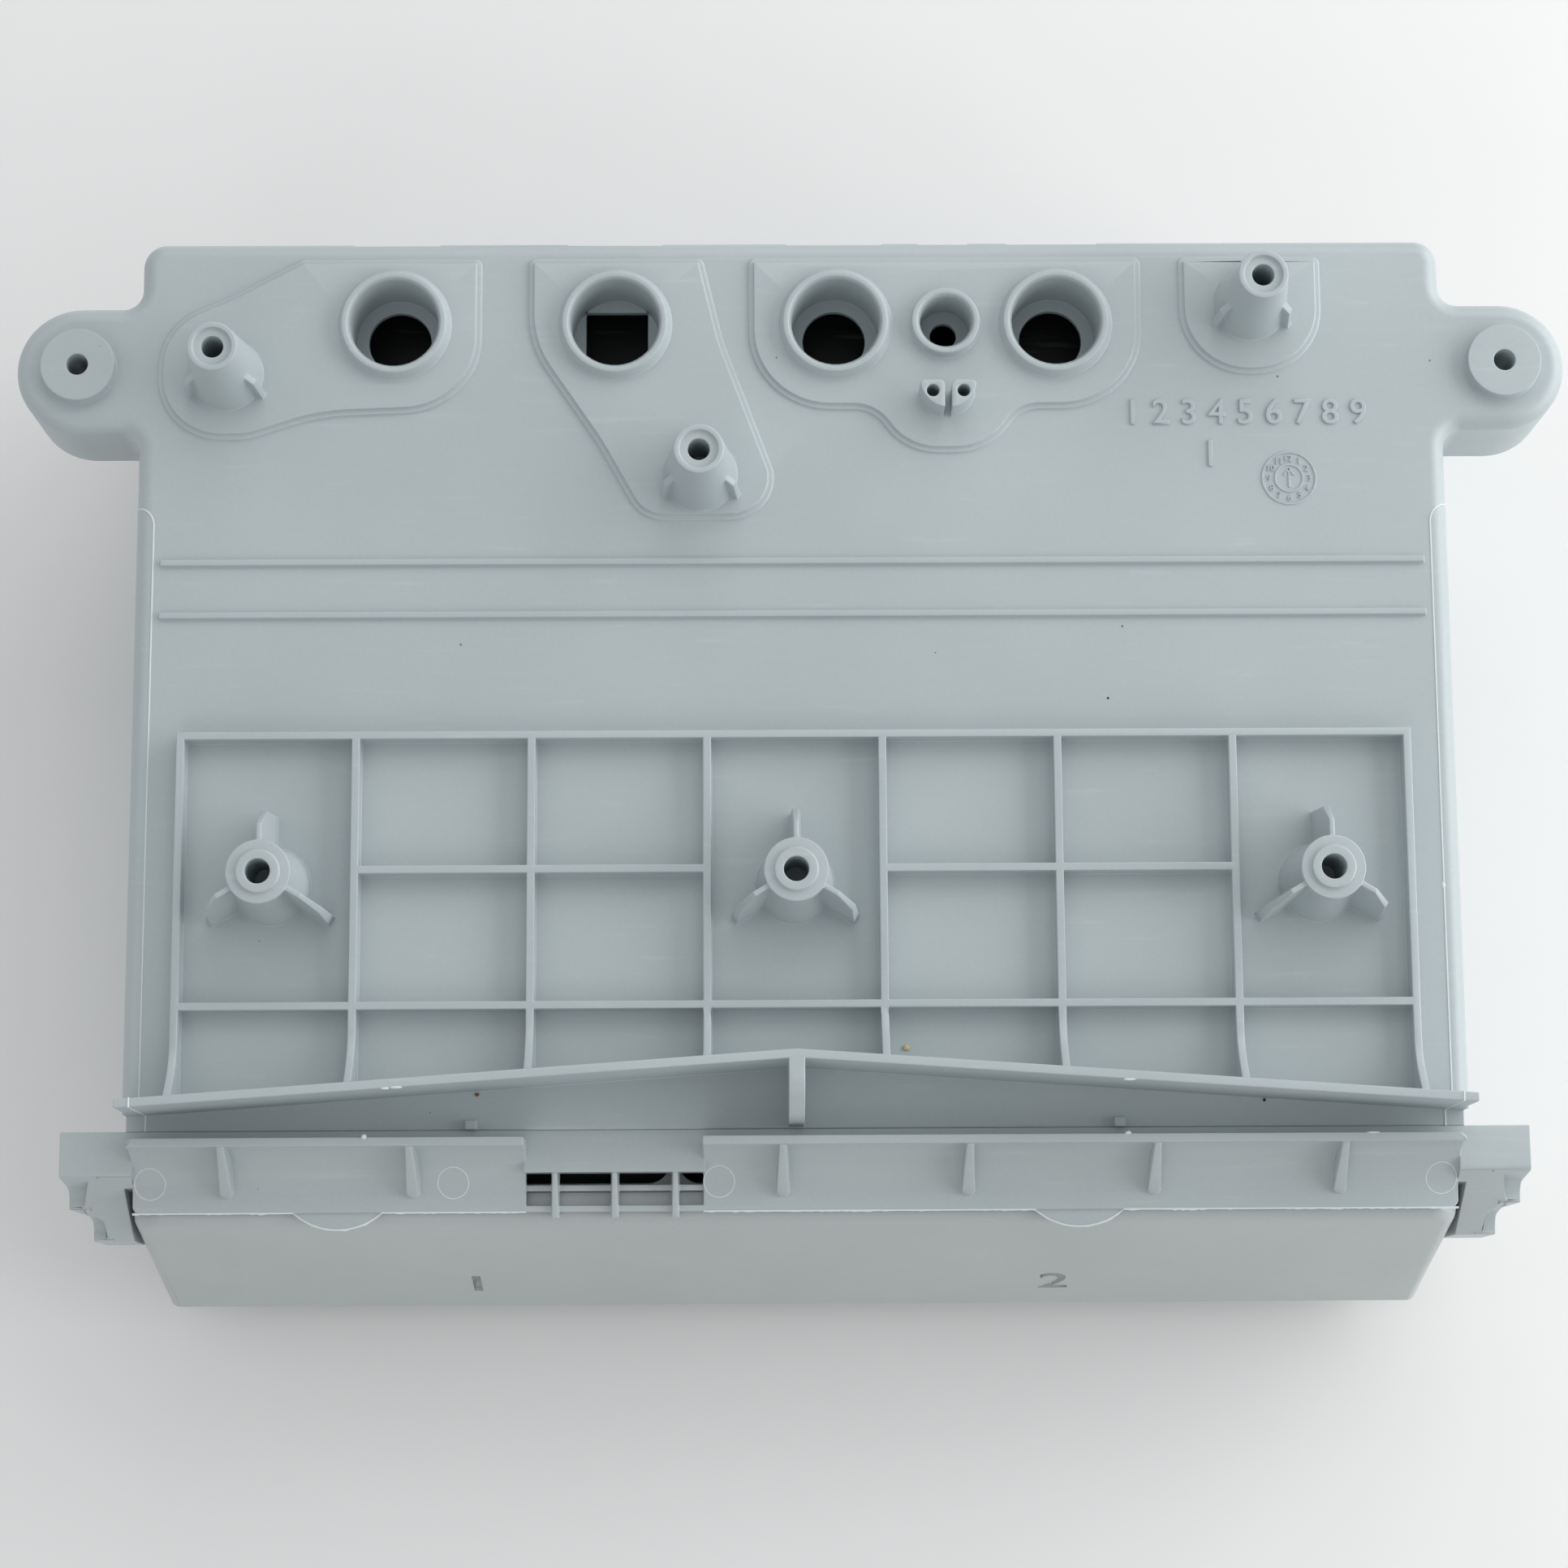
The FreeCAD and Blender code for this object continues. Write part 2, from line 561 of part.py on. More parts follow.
def make_housing_top():
    long_front = Y_SEAM - CUT_PAST
    cover = Part.Face(cover_outline(DECK_Z - EAR_H, long_front)).extrude(V(0, 0, EAR_H))
    edges = []
    for e in cover.Edges:
        b = e.BoundBox
        if abs(b.ZMin - DECK_Z) < 1e-6 and b.YMax > long_front + 1e-3:
            edges.append(e)
    cover = cover.makeFillet(TOP_EDGE_R, edges)
    low_deck = DECK_Z - FRONT_DROP
    t2 = DAM_T / 2.0
    # The deck steps down in front of the dam.
    wide = BODY_HALF_W + CUT_PAST
    step = dam_band(wide, -t2, -3 * CUT_PAST, low_deck, DECK_Z + CUT_PAST)
    # The hollow below the deck follows the same step.
    hollow = body_block(WALL, SPLIT_Z - CUT_OVER, DECK_Z - WALL, long_front - CUT_OVER)
    keep = dam_band(wide, t2, -3 * CUT_PAST, low_deck - WALL, DECK_Z)
    hollow = hollow.cut(keep)
    ahead = box(-wide, long_front - CUT_PAST, SPLIT_Z - CUT_PAST, wide, Y_SEAM, DECK_Z + CUT_PAST)
    pockets = []
    for s in (-1, 1):
        tab = cyl(s * EAR_X, EAR_Y, DECK_Z - EAR_H - CUT_OVER, EAR_R - WALL, EAR_H - WALL + CUT_OVER)
        x0 = min(s * BODY_HALF_W, s * EAR_X)
        x1 = max(s * BODY_HALF_W, s * EAR_X)
        r = EAR_R - WALL
        bridge = box(x0, EAR_Y - r, DECK_Z - EAR_H - CUT_OVER, x1, EAR_Y + r, DECK_Z - WALL)
        pockets.append(tab.fuse(bridge))
    shell = cover.cut([step, hollow, ahead] + pockets)
    add = [shell]
    cut = []
    # Rabbet that the tongue of the lower housing enters.
    ring = body_block(WALL - TONGUE_T - FIT, SPLIT_Z - CUT_OVER, SPLIT_Z + TONGUE_H + FIT, long_front)
    cut.append(ring)
    for s in (-1, 1):
        x = s * EAR_X
        add.append(cyl(x, EAR_Y, DECK_Z - ROOT, EAR_DISC_R, EAR_DISC_H + ROOT))
        add.append(cyl(x, EAR_Y, DECK_Z - EAR_H, EAR_HOLE_R + EAR_TUBE_WALL, EAR_H - WALL / 2.0))
        cut.append(cyl(x, EAR_Y, DECK_Z - EAR_H - CUT_OVER, EAR_HOLE_R, EAR_H + EAR_DISC_H + 2 * CUT_OVER))
        # Hold-down rib above the drawer flange.
        zb = SPLIT_Z + RUN_CLEAR + FLANGE_T + HOLD_GAP
        inner = BODY_HALF_W - WALL - HOLD_REACH
        xa = min(s * inner, s * (BODY_HALF_W - WALL / 2.0))
        xb = max(s * inner, s * (BODY_HALF_W - WALL / 2.0))
        add.append(box(xa, Y_SEAM + HOLD_REACH, zb, xb, TRAY_Y_REAR, zb + HOLD_T))
    add += pads()
    for k, x in enumerate(PORT_X):
        a, c = port_socket(x, PORT_BASE_R, PORT_BORE_R, PORT_DEPTH, PORT_THROAT_R, k == 1)
        add += a
        cut += c
    a, c = port_socket(SMALL_PORT_X, SMALL_PORT_BASE_R, SMALL_PORT_BORE_R, SMALL_PORT_DEPTH,
                       SMALL_PORT_THROAT_R, False)
    add += a
    cut += c
    for x, y in REAR_BOSSES:
        a, c = rear_boss(x, y)
        add += a
        cut += c
    for x in FRONT_BOSS_X:
        a, c = front_boss(x, FRONT_BOSS_Y)
        add += a
        cut += c
    # Half-round posts, split by a thin gap.
    disc = cyl(D_POST_X, D_POST_Y + D_POST_BACK, DECK_Z, D_POST_R, D_POST_H)
    near = D_POST_GAP / 2.0
    for s in (-1, 1):
        xa = min(D_POST_X + s * near, D_POST_X + s * D_POST_R)
        xb = max(D_POST_X + s * near, D_POST_X + s * D_POST_R)
        half = box(xa, D_POST_Y - D_POST_R, DECK_Z, xb, D_POST_Y + D_POST_BACK, DECK_Z + D_POST_H)
        back = [e for e in half.Edges if e.BoundBox.ZLength > 1 and e.BoundBox.YMin > D_POST_Y]
        add.append(disc.common(half.makeFillet(D_POST_CORNER_R, back)))
        hole_x = D_POST_X + s * D_POST_HOLE_X
        cut.append(cyl(hole_x, D_POST_Y, DECK_Z + PAD_H, D_POST_HOLE_R, D_POST_H))
    for y in RIDGE_Y:
        h = RIDGE_W / 2.0
        ridge = box(-RIDGE_HALF_L, y - h, DECK_Z - ROOT, RIDGE_HALF_L, y + h, DECK_Z + RIDGE_H)
        add.append(ridge)
    for xa, xb in NOTCHES:
        cut.append(box(xa, Y_REAR - NOTCH_D, DECK_Z - NOTCH_H, xb, Y_REAR + CUT_OVER, DECK_Z + CUT_OVER))
    # Rib grid.
    cols = [(k - (GRID_COLS - 1) / 2.0) * GRID_PITCH_X for k in range(GRID_COLS)]
    for x in cols:
        add.append(grid_rib(x))
    for row in (0, 2):
        y = GRID_Y_TOP - row * GRID_PITCH_Y
        add.append(box(cols[0], y - RIB_T / 2.0, DECK_Z - ROOT, cols[-1], y + RIB_T / 2.0, DECK_Z + RIB_H))
    y = GRID_Y_TOP - GRID_PITCH_Y
    for i0, i1 in ((1, 3), (4, 6)):
        add.append(box(cols[i0], y - RIB_T / 2.0, DECK_Z - ROOT, cols[i1], y + RIB_T / 2.0, DECK_Z + RIB_H))
    # Dam, its middle web and two gate nubs on the low front deck.
    dam = dam_band(BODY_HALF_W + DAM_OVER, t2, -t2, low_deck - WALL, DECK_Z + DAM_H)
    add.append(dam)
    web = [(DAM_APEX_Y, low_deck - ROOT), (DAM_APEX_Y, DECK_Z + DAM_H)]
    head = DAM_APEX_Y - (DAM_APEX_Y - Y_SEAM) * DAM_WEB_HEAD
    toe = Y_SEAM + ROOT
    rise = DAM_H + FRONT_DROP
    foot = rise / 4.0
    for k in range(9):
        a = math.radians(90.0 * k / 8.0)
        web.append((head + (toe - head) * math.sin(a), low_deck + foot + (rise - foot) * math.cos(a)))
    web.append((toe, low_deck - ROOT))
    add.append(plate_x(web, 0, WEB_T))
    for x in NUB_X:
        h = NUB_W / 2.0
        add.append(box(x - h, Y_SEAM, low_deck - ROOT, x + h, Y_SEAM + NUB_L, low_deck + NUB_H))
    return less(join(add), cut)


def make_housing_base():
    y_front = Y_SEAM
    outer = body_block(0, 0, SPLIT_Z, y_front)
    inner = body_block(WALL, -1, SPLIT_Z + 1, y_front - 5)
    walls = outer.cut(inner)
    # Sloping pan floor with the drain spout at its low end.
    y_back = Y_REAR - WALL / 2.0
    pts = [(y_front, PAN_Z_FRONT), (y_back, PAN_Z_REAR), (y_back, PAN_Z_REAR - FOOT_T)]
    pts += [(y_front, PAN_Z_FRONT - FOOT_T)]
    w = BODY_HALF_W - WALL / 2.0
    floor = plate_x(pts, 0, 2 * w)
    sill = box(-BODY_HALF_W, y_front, 0, BODY_HALF_W, y_front + WALL, PAN_Z_FRONT)
    tongue = body_block(WALL - TONGUE_T, SPLIT_Z - 1, SPLIT_Z + TONGUE_H, y_front)
    tongue = tongue.cut(body_block(WALL, SPLIT_Z - 2, SPLIT_Z + TONGUE_H + 1, y_front - 5))
    add = [walls, floor, sill, tongue]
    for s in (-1, 1):
        xa = min(s * RAIL_INNER_X, s * (BODY_HALF_W - 1.0))
        xb = max(s * RAIL_INNER_X, s * (BODY_HALF_W - 1.0))
        add.append(box(xa, y_front, SPLIT_Z - RAIL_T, xb, TRAY_Y_REAR + 4, SPLIT_Z))
    zf = pan_z(SPOUT_Y)
    shoulder = SPOUT_Z + SPOUT_LEN
    spout_r = SPOUT_R + SPOUT_WALL
    add.append(cyl(0, SPOUT_Y, SPOUT_Z, spout_r, SPOUT_LEN + 1.0))
    add.append(cyl(0, SPOUT_Y, shoulder, spout_r + SPOUT_COLLAR, zf - FOOT_T / 2.0 - shoulder))
    # Stiffening ribs under the pan.
    for x in UNDER_RIB_X:
        pts = [(y_front, UNDER_RIB_Z), (y_back, UNDER_RIB_Z), (y_back, pan_z(y_back) - 1.0)]
        pts += [(y_front, pan_z(y_front) - 1.0)]
        add.append(plate_x(pts, x, UNDER_RIB_T))
    return less(join(add), [cyl(0, SPOUT_Y, -1, SPOUT_R, zf + 10)])


def make_shower_plate():
    w = SPREAD_HALF_W
    under = DECK_Z - WALL
    back = Y_REAR - WALL - 1.0
    t = SPREAD_T
    add = [box(-w, SPREAD_Y_FRONT, SPREAD_Z, w, TROUGH_Y + t, SPREAD_Z + t)]
    add.append(box(-w, TROUGH_Y, TROUGH_Z, w, TROUGH_Y + t, SPREAD_Z + t))
    add.append(box(-w, TROUGH_Y, TROUGH_Z, w, back, TROUGH_Z + t))
    add.append(box(-w, back - t, TROUGH_Z, w, back, under))
    add.append(box(-w, SPREAD_Y_FRONT, SPREAD_Z, w, SPREAD_Y_FRONT + t, under))
    # Channel walls: outer sides and two dividers between the water zones.
    mids = [(PORT_X[0] + PORT_X[1]) / 2.0, (PORT_X[1] + PORT_X[2]) / 2.0]
    for x in [-w + t / 2.0, mids[0], mids[1], w - t / 2.0]:
        add.append(box(x - t / 2.0, SPREAD_Y_FRONT, SPREAD_Z, x + t / 2.0, back, under))
        add.append(box(x - t / 2.0, TROUGH_Y, TROUGH_Z, x + t / 2.0, back, under))
    # Rows of short slots let the water fall into the drawer.
    cut = []
    pitch = 2 * w / SPREAD_COLS
    half_l = SPREAD_SLOT_L / 2.0
    half_w = SPREAD_SLOT_W / 2.0
    for i in range(SPREAD_COLS):
        x = -w + pitch * (i + 0.5)
        if min(abs(x - m) for m in mids) < half_l + t:
            continue
        for j in range(SPREAD_ROWS):
            y = SPREAD_Y_FRONT + SPREAD_FIRST_Y + j * SPREAD_PITCH_Y
            cut.append(box(x - half_l, y - half_w, SPREAD_Z - 1, x + half_l, y + half_w, SPREAD_Z + t + 1))
    return less(join(add), cut)


def make_drawer_tray():
    w = TRAY_HALF_W
    t = TRAY_WALL
    yf = TRAY_Y_FRONT
    yr = TRAY_Y_REAR
    z0 = TRAY_Z_BOTTOM
    z1 = TRAY_Z_RIM
    tub = box(-w, yf, z0, w, yr, z1)
    upright = [e for e in tub.Edges if e.BoundBox.ZLength > 10 and e.BoundBox.YMin > 0]
    tub = tub.makeFillet(8.0, upright)
    rooms = []
    for xa, xb in ((-w + t, TRAY_DIVIDER_X - t / 2.0), (TRAY_DIVIDER_X + t / 2.0, w - t)):
        room = box(xa, yf + t, z0 + t, xb, yr - t, z1 + 1)
        low = [e for e in room.Edges if e.BoundBox.ZMax < z1]
        high = [e for e in room.Edges if e.BoundBox.ZLength > 10]
        rooms.append(room.makeFillet(5.0, low + high))
    tub = tub.cut(rooms)
    add = [tub]
    zf = SPLIT_Z + RUN_CLEAR
    for s in (-1, 1):
        xa = min(s * (w - 0.5), s * FLANGE_HALF_W)
        xb = max(s * (w - 0.5), s * FLANGE_HALF_W)
        add.append(box(xa, yf + 2.0, zf, xb, yr - FLANGE_REAR_GAP, zf + FLANGE_T))
        # Lug at the rear end of the flange, which meets the stop in the frame.
        xb = s * (w + LUG_W)
        y = yr - FLANGE_REAR_GAP
        add.append(box(min(s * w, xb), y - LUG_T, zf, max(s * w, xb), y, zf + FLANGE_T + LUG_H))
    cut = []
    for x, r in zip(SIPHON_X, SIPHON_R):
        add.append(cyl(x, SIPHON_Y, z0, r, SIPHON_H))
        cut.append(cyl(x, SIPHON_Y, z0 - 1, r - SIPHON_WALL, SIPHON_H + 5))
    # The divider stands a little lower than the rim.
    cut.append(box(TRAY_DIVIDER_X - t, yf + t + 6, z1 - 6, TRAY_DIVIDER_X + t, yr - t - 6, z1 + 1))
    return less(join(add), cut)


def make_siphon_cap(x, r):
    """Lift-out cap: an inverted cup with three water slots at its foot and a finger tab on top."""
    z = TRAY_Z_BOTTOM + TRAY_WALL
    ri = r + CAP_GAP
    ro = ri + CAP_WALL
    roof = TRAY_Z_BOTTOM + SIPHON_H + CAP_ROOF_GAP
    top = roof + CAP_WALL
    half = [(ri, z), (ro, z), (ro, top - CAP_EDGE), (ro - CAP_EDGE, top), (0, top), (0, roof), (ri, roof)]
    wire = Part.makePolygon([V(a, 0, b) for a, b in half + half[:1]])
    cap = Part.Face(wire).revolve(V(0, 0, 0), V(0, 0, 1), 360)
    cuts = []
    for deg in (30, 150, 270):
        slot = box(0, -CAP_SLOT_W / 2.0, z - 1, ro + 3, CAP_SLOT_W / 2.0, z + CAP_SLOT_H)
        slot.rotate(V(0, 0, 0), V(0, 0, 1), deg)
        cuts.append(slot)
    cap = cap.cut(cuts)
    h = CAP_TAB_T / 2.0
    w = CAP_TAB_W / 2.0
    tab = box(-w, -h, top - CAP_WALL / 2.0, w, h, top + CAP_TAB_H)
    ends = [e for e in tab.Edges if e.BoundBox.YLength > h and e.BoundBox.ZMin > top]
    tab = tab.makeChamfer(CAP_TAB_W / 4.0, ends)
    cap = cap.fuse(tab).removeSplitter()
    cap.translate(V(x, SIPHON_Y, 0))
    return cap


def side_bracket(s):
    """Side bracket of the frame: a level top that falls in two fluted lobes beside a leaning sheet."""
    z0 = DECK_Z - FRONT_DROP
    z1 = z0 - WING_STEP_Z
    z2 = z1 - WING_STEP_Z
    foot = WING_FOOT_Z
    y0 = Y_SEAM
    y1 = y0 - WING_TOP_L
    tread1 = y1 - WING_LEAN
    y2 = tread1 - WING_TREAD
    tread2 = y2 - WING_LEAN
    y3 = tread2 - WING_TREAD
    x_post = BODY_HALF_W - POST_T / 2.0
    x_in = FRONT_HALF_W + WING_GAP
    drop = WING_SHEET_DROP
    lobe1, lobe2 = WING_LOBE_X
    in1 = lobe1 - WING_LOBE_W
    in2 = lobe2 - WING_LOBE_W
    skew = WING_LOBE_SKEW
    prof = [(y0, z0), (y1, z0), (tread1, z1), (y2, z1), (tread2, z2), (y3, z2), (y3, foot), (y0, foot)]
    stair = plate_x(prof, 0, 2 * WING_OUT)
    for spots, r in (((1,), WING_R), ((3, 5), WING_R / 2.0), ((2, 4), WING_FLUTE_R)):
        edges = [e for e in stair.Edges for k in spots if on_line(e, prof[k][0], prof[k][1])]
        stair = stair.makeFillet(r, edges)
    lean = [(y0, z0 - drop), (y1, z0 - drop), (y3, z2 - drop), (y3, foot), (y0, foot)]
    slope = plate_x(lean, 0, 2 * WING_OUT)
    steps = [(x_post, y0), (WING_OUT, y0), (WING_OUT, y1), (lobe1, tread1), (lobe1, y2)]
    steps += [(lobe1 - 2 * skew, y2)]
    steps += [(lobe2, tread2), (lobe2, y3), (in2 + skew, y3), (in2, tread2), (in1 + skew, y2), (in1, tread1)]
    steps += [(in1 - skew, y1), (x_post, y1)]
    sheet = [(x_post, y1 + skew), (in1, y1 + skew), (in1 + 2 * skew, y2), (in2 + 2 * skew, tread2)]
    sheet += [(in2 + 2 * skew, y3), (x_in, y3), (x_in, FRAME_Y_FRONT), (x_post, FRAME_Y_FRONT)]
    out = []
    for solid, plan in ((stair, steps), (slope, sheet)):
        out.append(solid.common(prism([(s * x, y) for x, y in plan], foot, z0 + CUT_OVER - foot)))
    return out


def cove_gusset(x):
    """Gusset in the cove, thinner at its crest and round at its foot."""
    back = COVE_BACK_Y - COVE_T / 2.0
    tip = LIP_Y + GUSSET_END
    low = LIP_Z + LIP_T
    h = GUSSET_T / 2.0
    root = LIP_Z + LIP_T / 2.0
    crest = COVE_TOP_Z - ROOT
    side = [(back, root), (back, crest), (COVE_BACK_Y - COVE_T - ROOT, crest), (tip, low + ROOT), (tip, root)]
    plan = box(-h, tip + h, LIP_Z, h, back, COVE_TOP_Z).fuse(cyl(0, tip + h, LIP_Z, h, COVE_TOP_Z - LIP_Z))
    gusset = drafted(side, GUSSET_T, GUSSET_TOP_T).common(plan)
    gusset.translate(V(x, 0, 0))
    return gusset


def cove_apron(low_deck, land_y):
    """Cove in profile: upright back, round hollow and level lip, open at the window."""
    front = COVE_BACK_Y - COVE_T
    cy = front - COVE_R
    top = LIP_Z + LIP_T
    prof = [(COVE_BACK_Y, low_deck - WALL), (COVE_BACK_Y, COVE_TOP_Z), (front, COVE_TOP_Z)]
    for k in range(10):
        a = math.radians(90.0 * k / 9.0)
        prof.append((cy + COVE_R * math.cos(a), top + COVE_R * (1.0 - math.sin(a))))
    prof += [(LIP_Y, top), (LIP_Y, LIP_Z), (cy + COVE_T, LIP_Z), (front - COVE_T, low_deck - 2 * WALL)]
    apron = plate_x(prof, 0, 2 * COVE_HALF_L)
    ends = []
    for e in apron.Edges:
        b = e.BoundBox
        upright = b.ZLength > LIP_T / 2.0 and b.YLength < 1e-4 and b.XLength < 1e-4
        if upright and (abs(b.YMin - LIP_Y) < 1e-4 or b.YMin > COVE_BACK_Y - 1e-4):
            ends.append(e)
    apron = apron.makeFillet(COVE_CORNER_R, ends)
    over = CUT_OVER
    gap = box(WINDOW_X0, LIP_Y - over, LIP_Z - over, WINDOW_X1, land_y, COVE_TOP_Z + over)
    above = box(WINDOW_X0, land_y - over, low_deck, WINDOW_X1, Y_SEAM, COVE_TOP_Z + over)
    return apron.cut([gap, above])


def window_grille(low_deck, land_y):
    """Land behind the window, two bars across it and its fins."""
    xa = WINDOW_X0 - ROOT
    xb = WINDOW_X1 + ROOT
    t = WINDOW_BAR_T
    top = LIP_Z + LIP_T
    out = [box(xa, land_y, low_deck - WALL, xb, Y_SEAM, low_deck)]
    out.append(box(xa, LIP_Y, LIP_Z, xb, LIP_Y + t, top))
    out.append(box(xa, land_y - 2 * LIP_T, LIP_Z, xb, land_y - 2 * LIP_T + t, LIP_Z + t))
    root = land_y + ROOT
    tip = LIP_Y - t
    crest = low_deck - ROOT
    side = [(root, LIP_Z), (root, crest), (land_y - t, crest), (tip, top + ROOT), (tip, LIP_Z)]
    for x in WINDOW_FIN_X:
        fin = drafted(side, WINDOW_FIN_T, WINDOW_FIN_TOP_T)
        fin.translate(V(x, 0, 0))
        out.append(fin)
    return out


def make_front_frame():
    low_deck = DECK_Z - FRONT_DROP
    w = BODY_HALF_W
    land_y = FRAME_Y_FRONT + WINDOW_LAND
    # Land that carries on from the low front deck, posts at the sides and a sill below.
    add = [box(-w, COVE_BACK_Y, low_deck - WALL, w, Y_SEAM, low_deck)]
    for s in (-1, 1):
        xa = min(s * FRAME_OPEN_HALF_W, s * w)
        xb = max(s * FRAME_OPEN_HALF_W, s * w)
        add.append(box(xa, FRAME_Y_FRONT, 0, xb, Y_SEAM, LIP_Z + LIP_T / 2.0))
        add.append(box(xa, COVE_BACK_Y, 0, xb, Y_SEAM, low_deck))
        # Stop that the drawer's lug reaches at the end of its travel.
        stop_y = TRAY_Y_REAR - FLANGE_REAR_GAP - LUG_T - TRAVEL - RUN_CLEAR
        stop_z = SPLIT_Z + RUN_CLEAR + FLANGE_T + RUN_CLEAR
        xc = s * (TRAY_HALF_W + RUN_CLEAR * 2)
        xa = min(xc, s * w)
        xb = max(xc, s * w)
        add.append(box(xa, stop_y - STOP_T, stop_z, xb, stop_y, stop_z + LUG_H))
        add += side_bracket(s)
    add.append(box(-w, FRAME_Y_FRONT, 0, w, Y_SEAM, FRAME_SILL_Z))
    add.append(cove_apron(low_deck, land_y))
    add += window_grille(low_deck, land_y)
    add += [cove_gusset(x) for x in GUSSET_X]
    # Half-round tabs under the lip.
    for x in TAB_X:
        tab = cyl(x, LIP_Y + TAB_R - TAB_OUT, LIP_Z, TAB_R, LIP_T / 2.0)
        add.append(tab.common(box(x - TAB_R, LIP_Y - TAB_R, LIP_Z, x + TAB_R, LIP_Y + ROOT, LIP_Z + LIP_T)))
    return join(add)


def make_drawer_front():
    """Leaning hollow front with rounded edges and four stiffening webs behind it."""
    zt = FRONT_TOP_Z
    zb = FRONT_BOTTOM_Z
    lean = (FRONT_TOP_Y - FRONT_BOTTOM_Y) / (zt - zb)
    prof = [(FRONT_BACK_Y, zb), (FRONT_BACK_Y, zt), (FRONT_TOP_Y, zt), (FRONT_BOTTOM_Y, zb)]
    solid = plate_x(prof, 0, 2 * FRONT_HALF_W)
    corner = []
    for e in solid.Edges:
        b = e.BoundBox
        if b.XLength < 1 and b.ZMin > zt - 1:
            corner.append(e)
    solid = solid.makeFillet(FRONT_CORNER_R, corner)
    face_edges = []
    for e in solid.Edges:
        b = e.BoundBox
        front_of = FRONT_TOP_Y - lean * (zt - 0.5 * (b.ZMin + b.ZMax))
        mid = 0.5 * (b.YMin + b.YMax)
        if abs(mid - front_of) < 0.8 and b.YMax < FRONT_BACK_Y - 1:
            face_edges.append(e)
    solid = solid.makeFillet(FRONT_EDGE_R, face_edges)
    t = FRONT_T
    run = math.sqrt(1 + lean * lean) * t
    y_top = FRONT_TOP_Y + run - lean * t
    y_bot = FRONT_BOTTOM_Y + run + lean * t
    y_back = FRONT_BACK_Y + CUT_OVER
    inner = [(y_back, zb + t), (y_back, zt - t), (y_top, zt - t), (y_bot, zb + t)]
    hollow = plate_x(inner, 0, 2 * (FRONT_HALF_W - t))
    upper = [e for e in hollow.Edges if e.BoundBox.XLength < t and e.BoundBox.ZMin > zt - 2 * t]
    hollow = hollow.makeFillet(FRONT_CORNER_R - t, upper)
    webs = [plate_x(prof, (k - 1.5) * FRONT_WEB_PITCH, FRONT_WEB_T) for k in range(4)]
    return solid.cut(hollow.cut(webs))


PIECES = {
    "housing_top": make_housing_top,
    "housing_base": make_housing_base,
    "front_frame": make_front_frame,
    "shower_plate": make_shower_plate,
    "drawer_tray": make_drawer_tray,
    "drawer_front": make_drawer_front,
}

for name, make in PIECES.items():
    shape = make()
    print(name, shape.isValid(), len(shape.Solids), len(shape.Faces), shape.BoundBox)
    shape.exportStep("parts/" + name + ".step")

for name, x, r in zip(("softener_siphon_cap", "detergent_siphon_cap"), SIPHON_X, SIPHON_R):
    shape = make_siphon_cap(x, r)
    print(name, shape.isValid(), len(shape.Solids), len(shape.Faces), shape.BoundBox)
    shape.exportStep("parts/" + name + ".step")
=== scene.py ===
import json
import math

import bmesh
import bpy
from mathutils import Matrix, Vector, noise


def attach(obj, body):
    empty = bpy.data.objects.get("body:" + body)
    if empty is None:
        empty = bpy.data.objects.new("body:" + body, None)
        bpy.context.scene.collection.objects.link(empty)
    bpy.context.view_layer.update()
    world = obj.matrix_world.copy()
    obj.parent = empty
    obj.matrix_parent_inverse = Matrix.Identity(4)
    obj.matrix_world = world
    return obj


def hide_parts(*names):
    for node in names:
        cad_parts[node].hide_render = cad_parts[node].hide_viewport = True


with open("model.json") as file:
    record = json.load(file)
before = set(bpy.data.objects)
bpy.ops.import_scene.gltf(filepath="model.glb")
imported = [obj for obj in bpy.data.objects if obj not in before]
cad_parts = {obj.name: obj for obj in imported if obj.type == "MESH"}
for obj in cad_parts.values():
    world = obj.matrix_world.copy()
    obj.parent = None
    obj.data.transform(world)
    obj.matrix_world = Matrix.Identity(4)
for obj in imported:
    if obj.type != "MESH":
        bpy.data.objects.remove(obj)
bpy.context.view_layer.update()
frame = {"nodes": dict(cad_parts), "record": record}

MM = 0.001

# Sizes of the moulding that the fine marks lie on, in mm.
BODY_HALF_W = 152.5
TOP_EDGE_R = 4.0
DECK_Z = 90.0
LOW_DECK_Z = 81.0
SEAM_Y = -85.0
DAM_TOP_Z = 104.0
DAM_APEX_Y = -70.0
DAM_END_Y = -80.6
DAM_T = 2.0
COVE_BACK_Y = -89.1
COVE_R = 11.5
LIP_TOP_Z = 77.0
LIP_Y = -103.3
COVE_HALF_L = 151.2
WINDOW_X = (-61.6, -21.2)
FRONT_TOP = (-105.3, 74.4)
FRONT_BOTTOM = (-123.5, 12.0)

# Edges of the mouldings: radius in mm that the tool leaves on each node.
EDGE_RADIUS = {
    "housing_top": 0.26,
    "housing_base": 0.35,
    "front_frame": 0.26,
    "shower_plate": 0.20,
    "drawer_tray": 0.30,
    "drawer_front": 0.45,
    "softener_siphon_cap": 0.20,
    "detergent_siphon_cap": 0.20,
}

# Camera of the photograph: place in mm, turns in degrees, focal length in pixels of a square image.
CAMERA_MM = (-9.75, -150.87, 898.22)
CAMERA_TURN = {"X": -10.102, "Y": 0.52, "Z": 0.335}
IMAGE_PX = 1932
FOCAL_PX = 4416.0
SENSOR_MM = 36.0


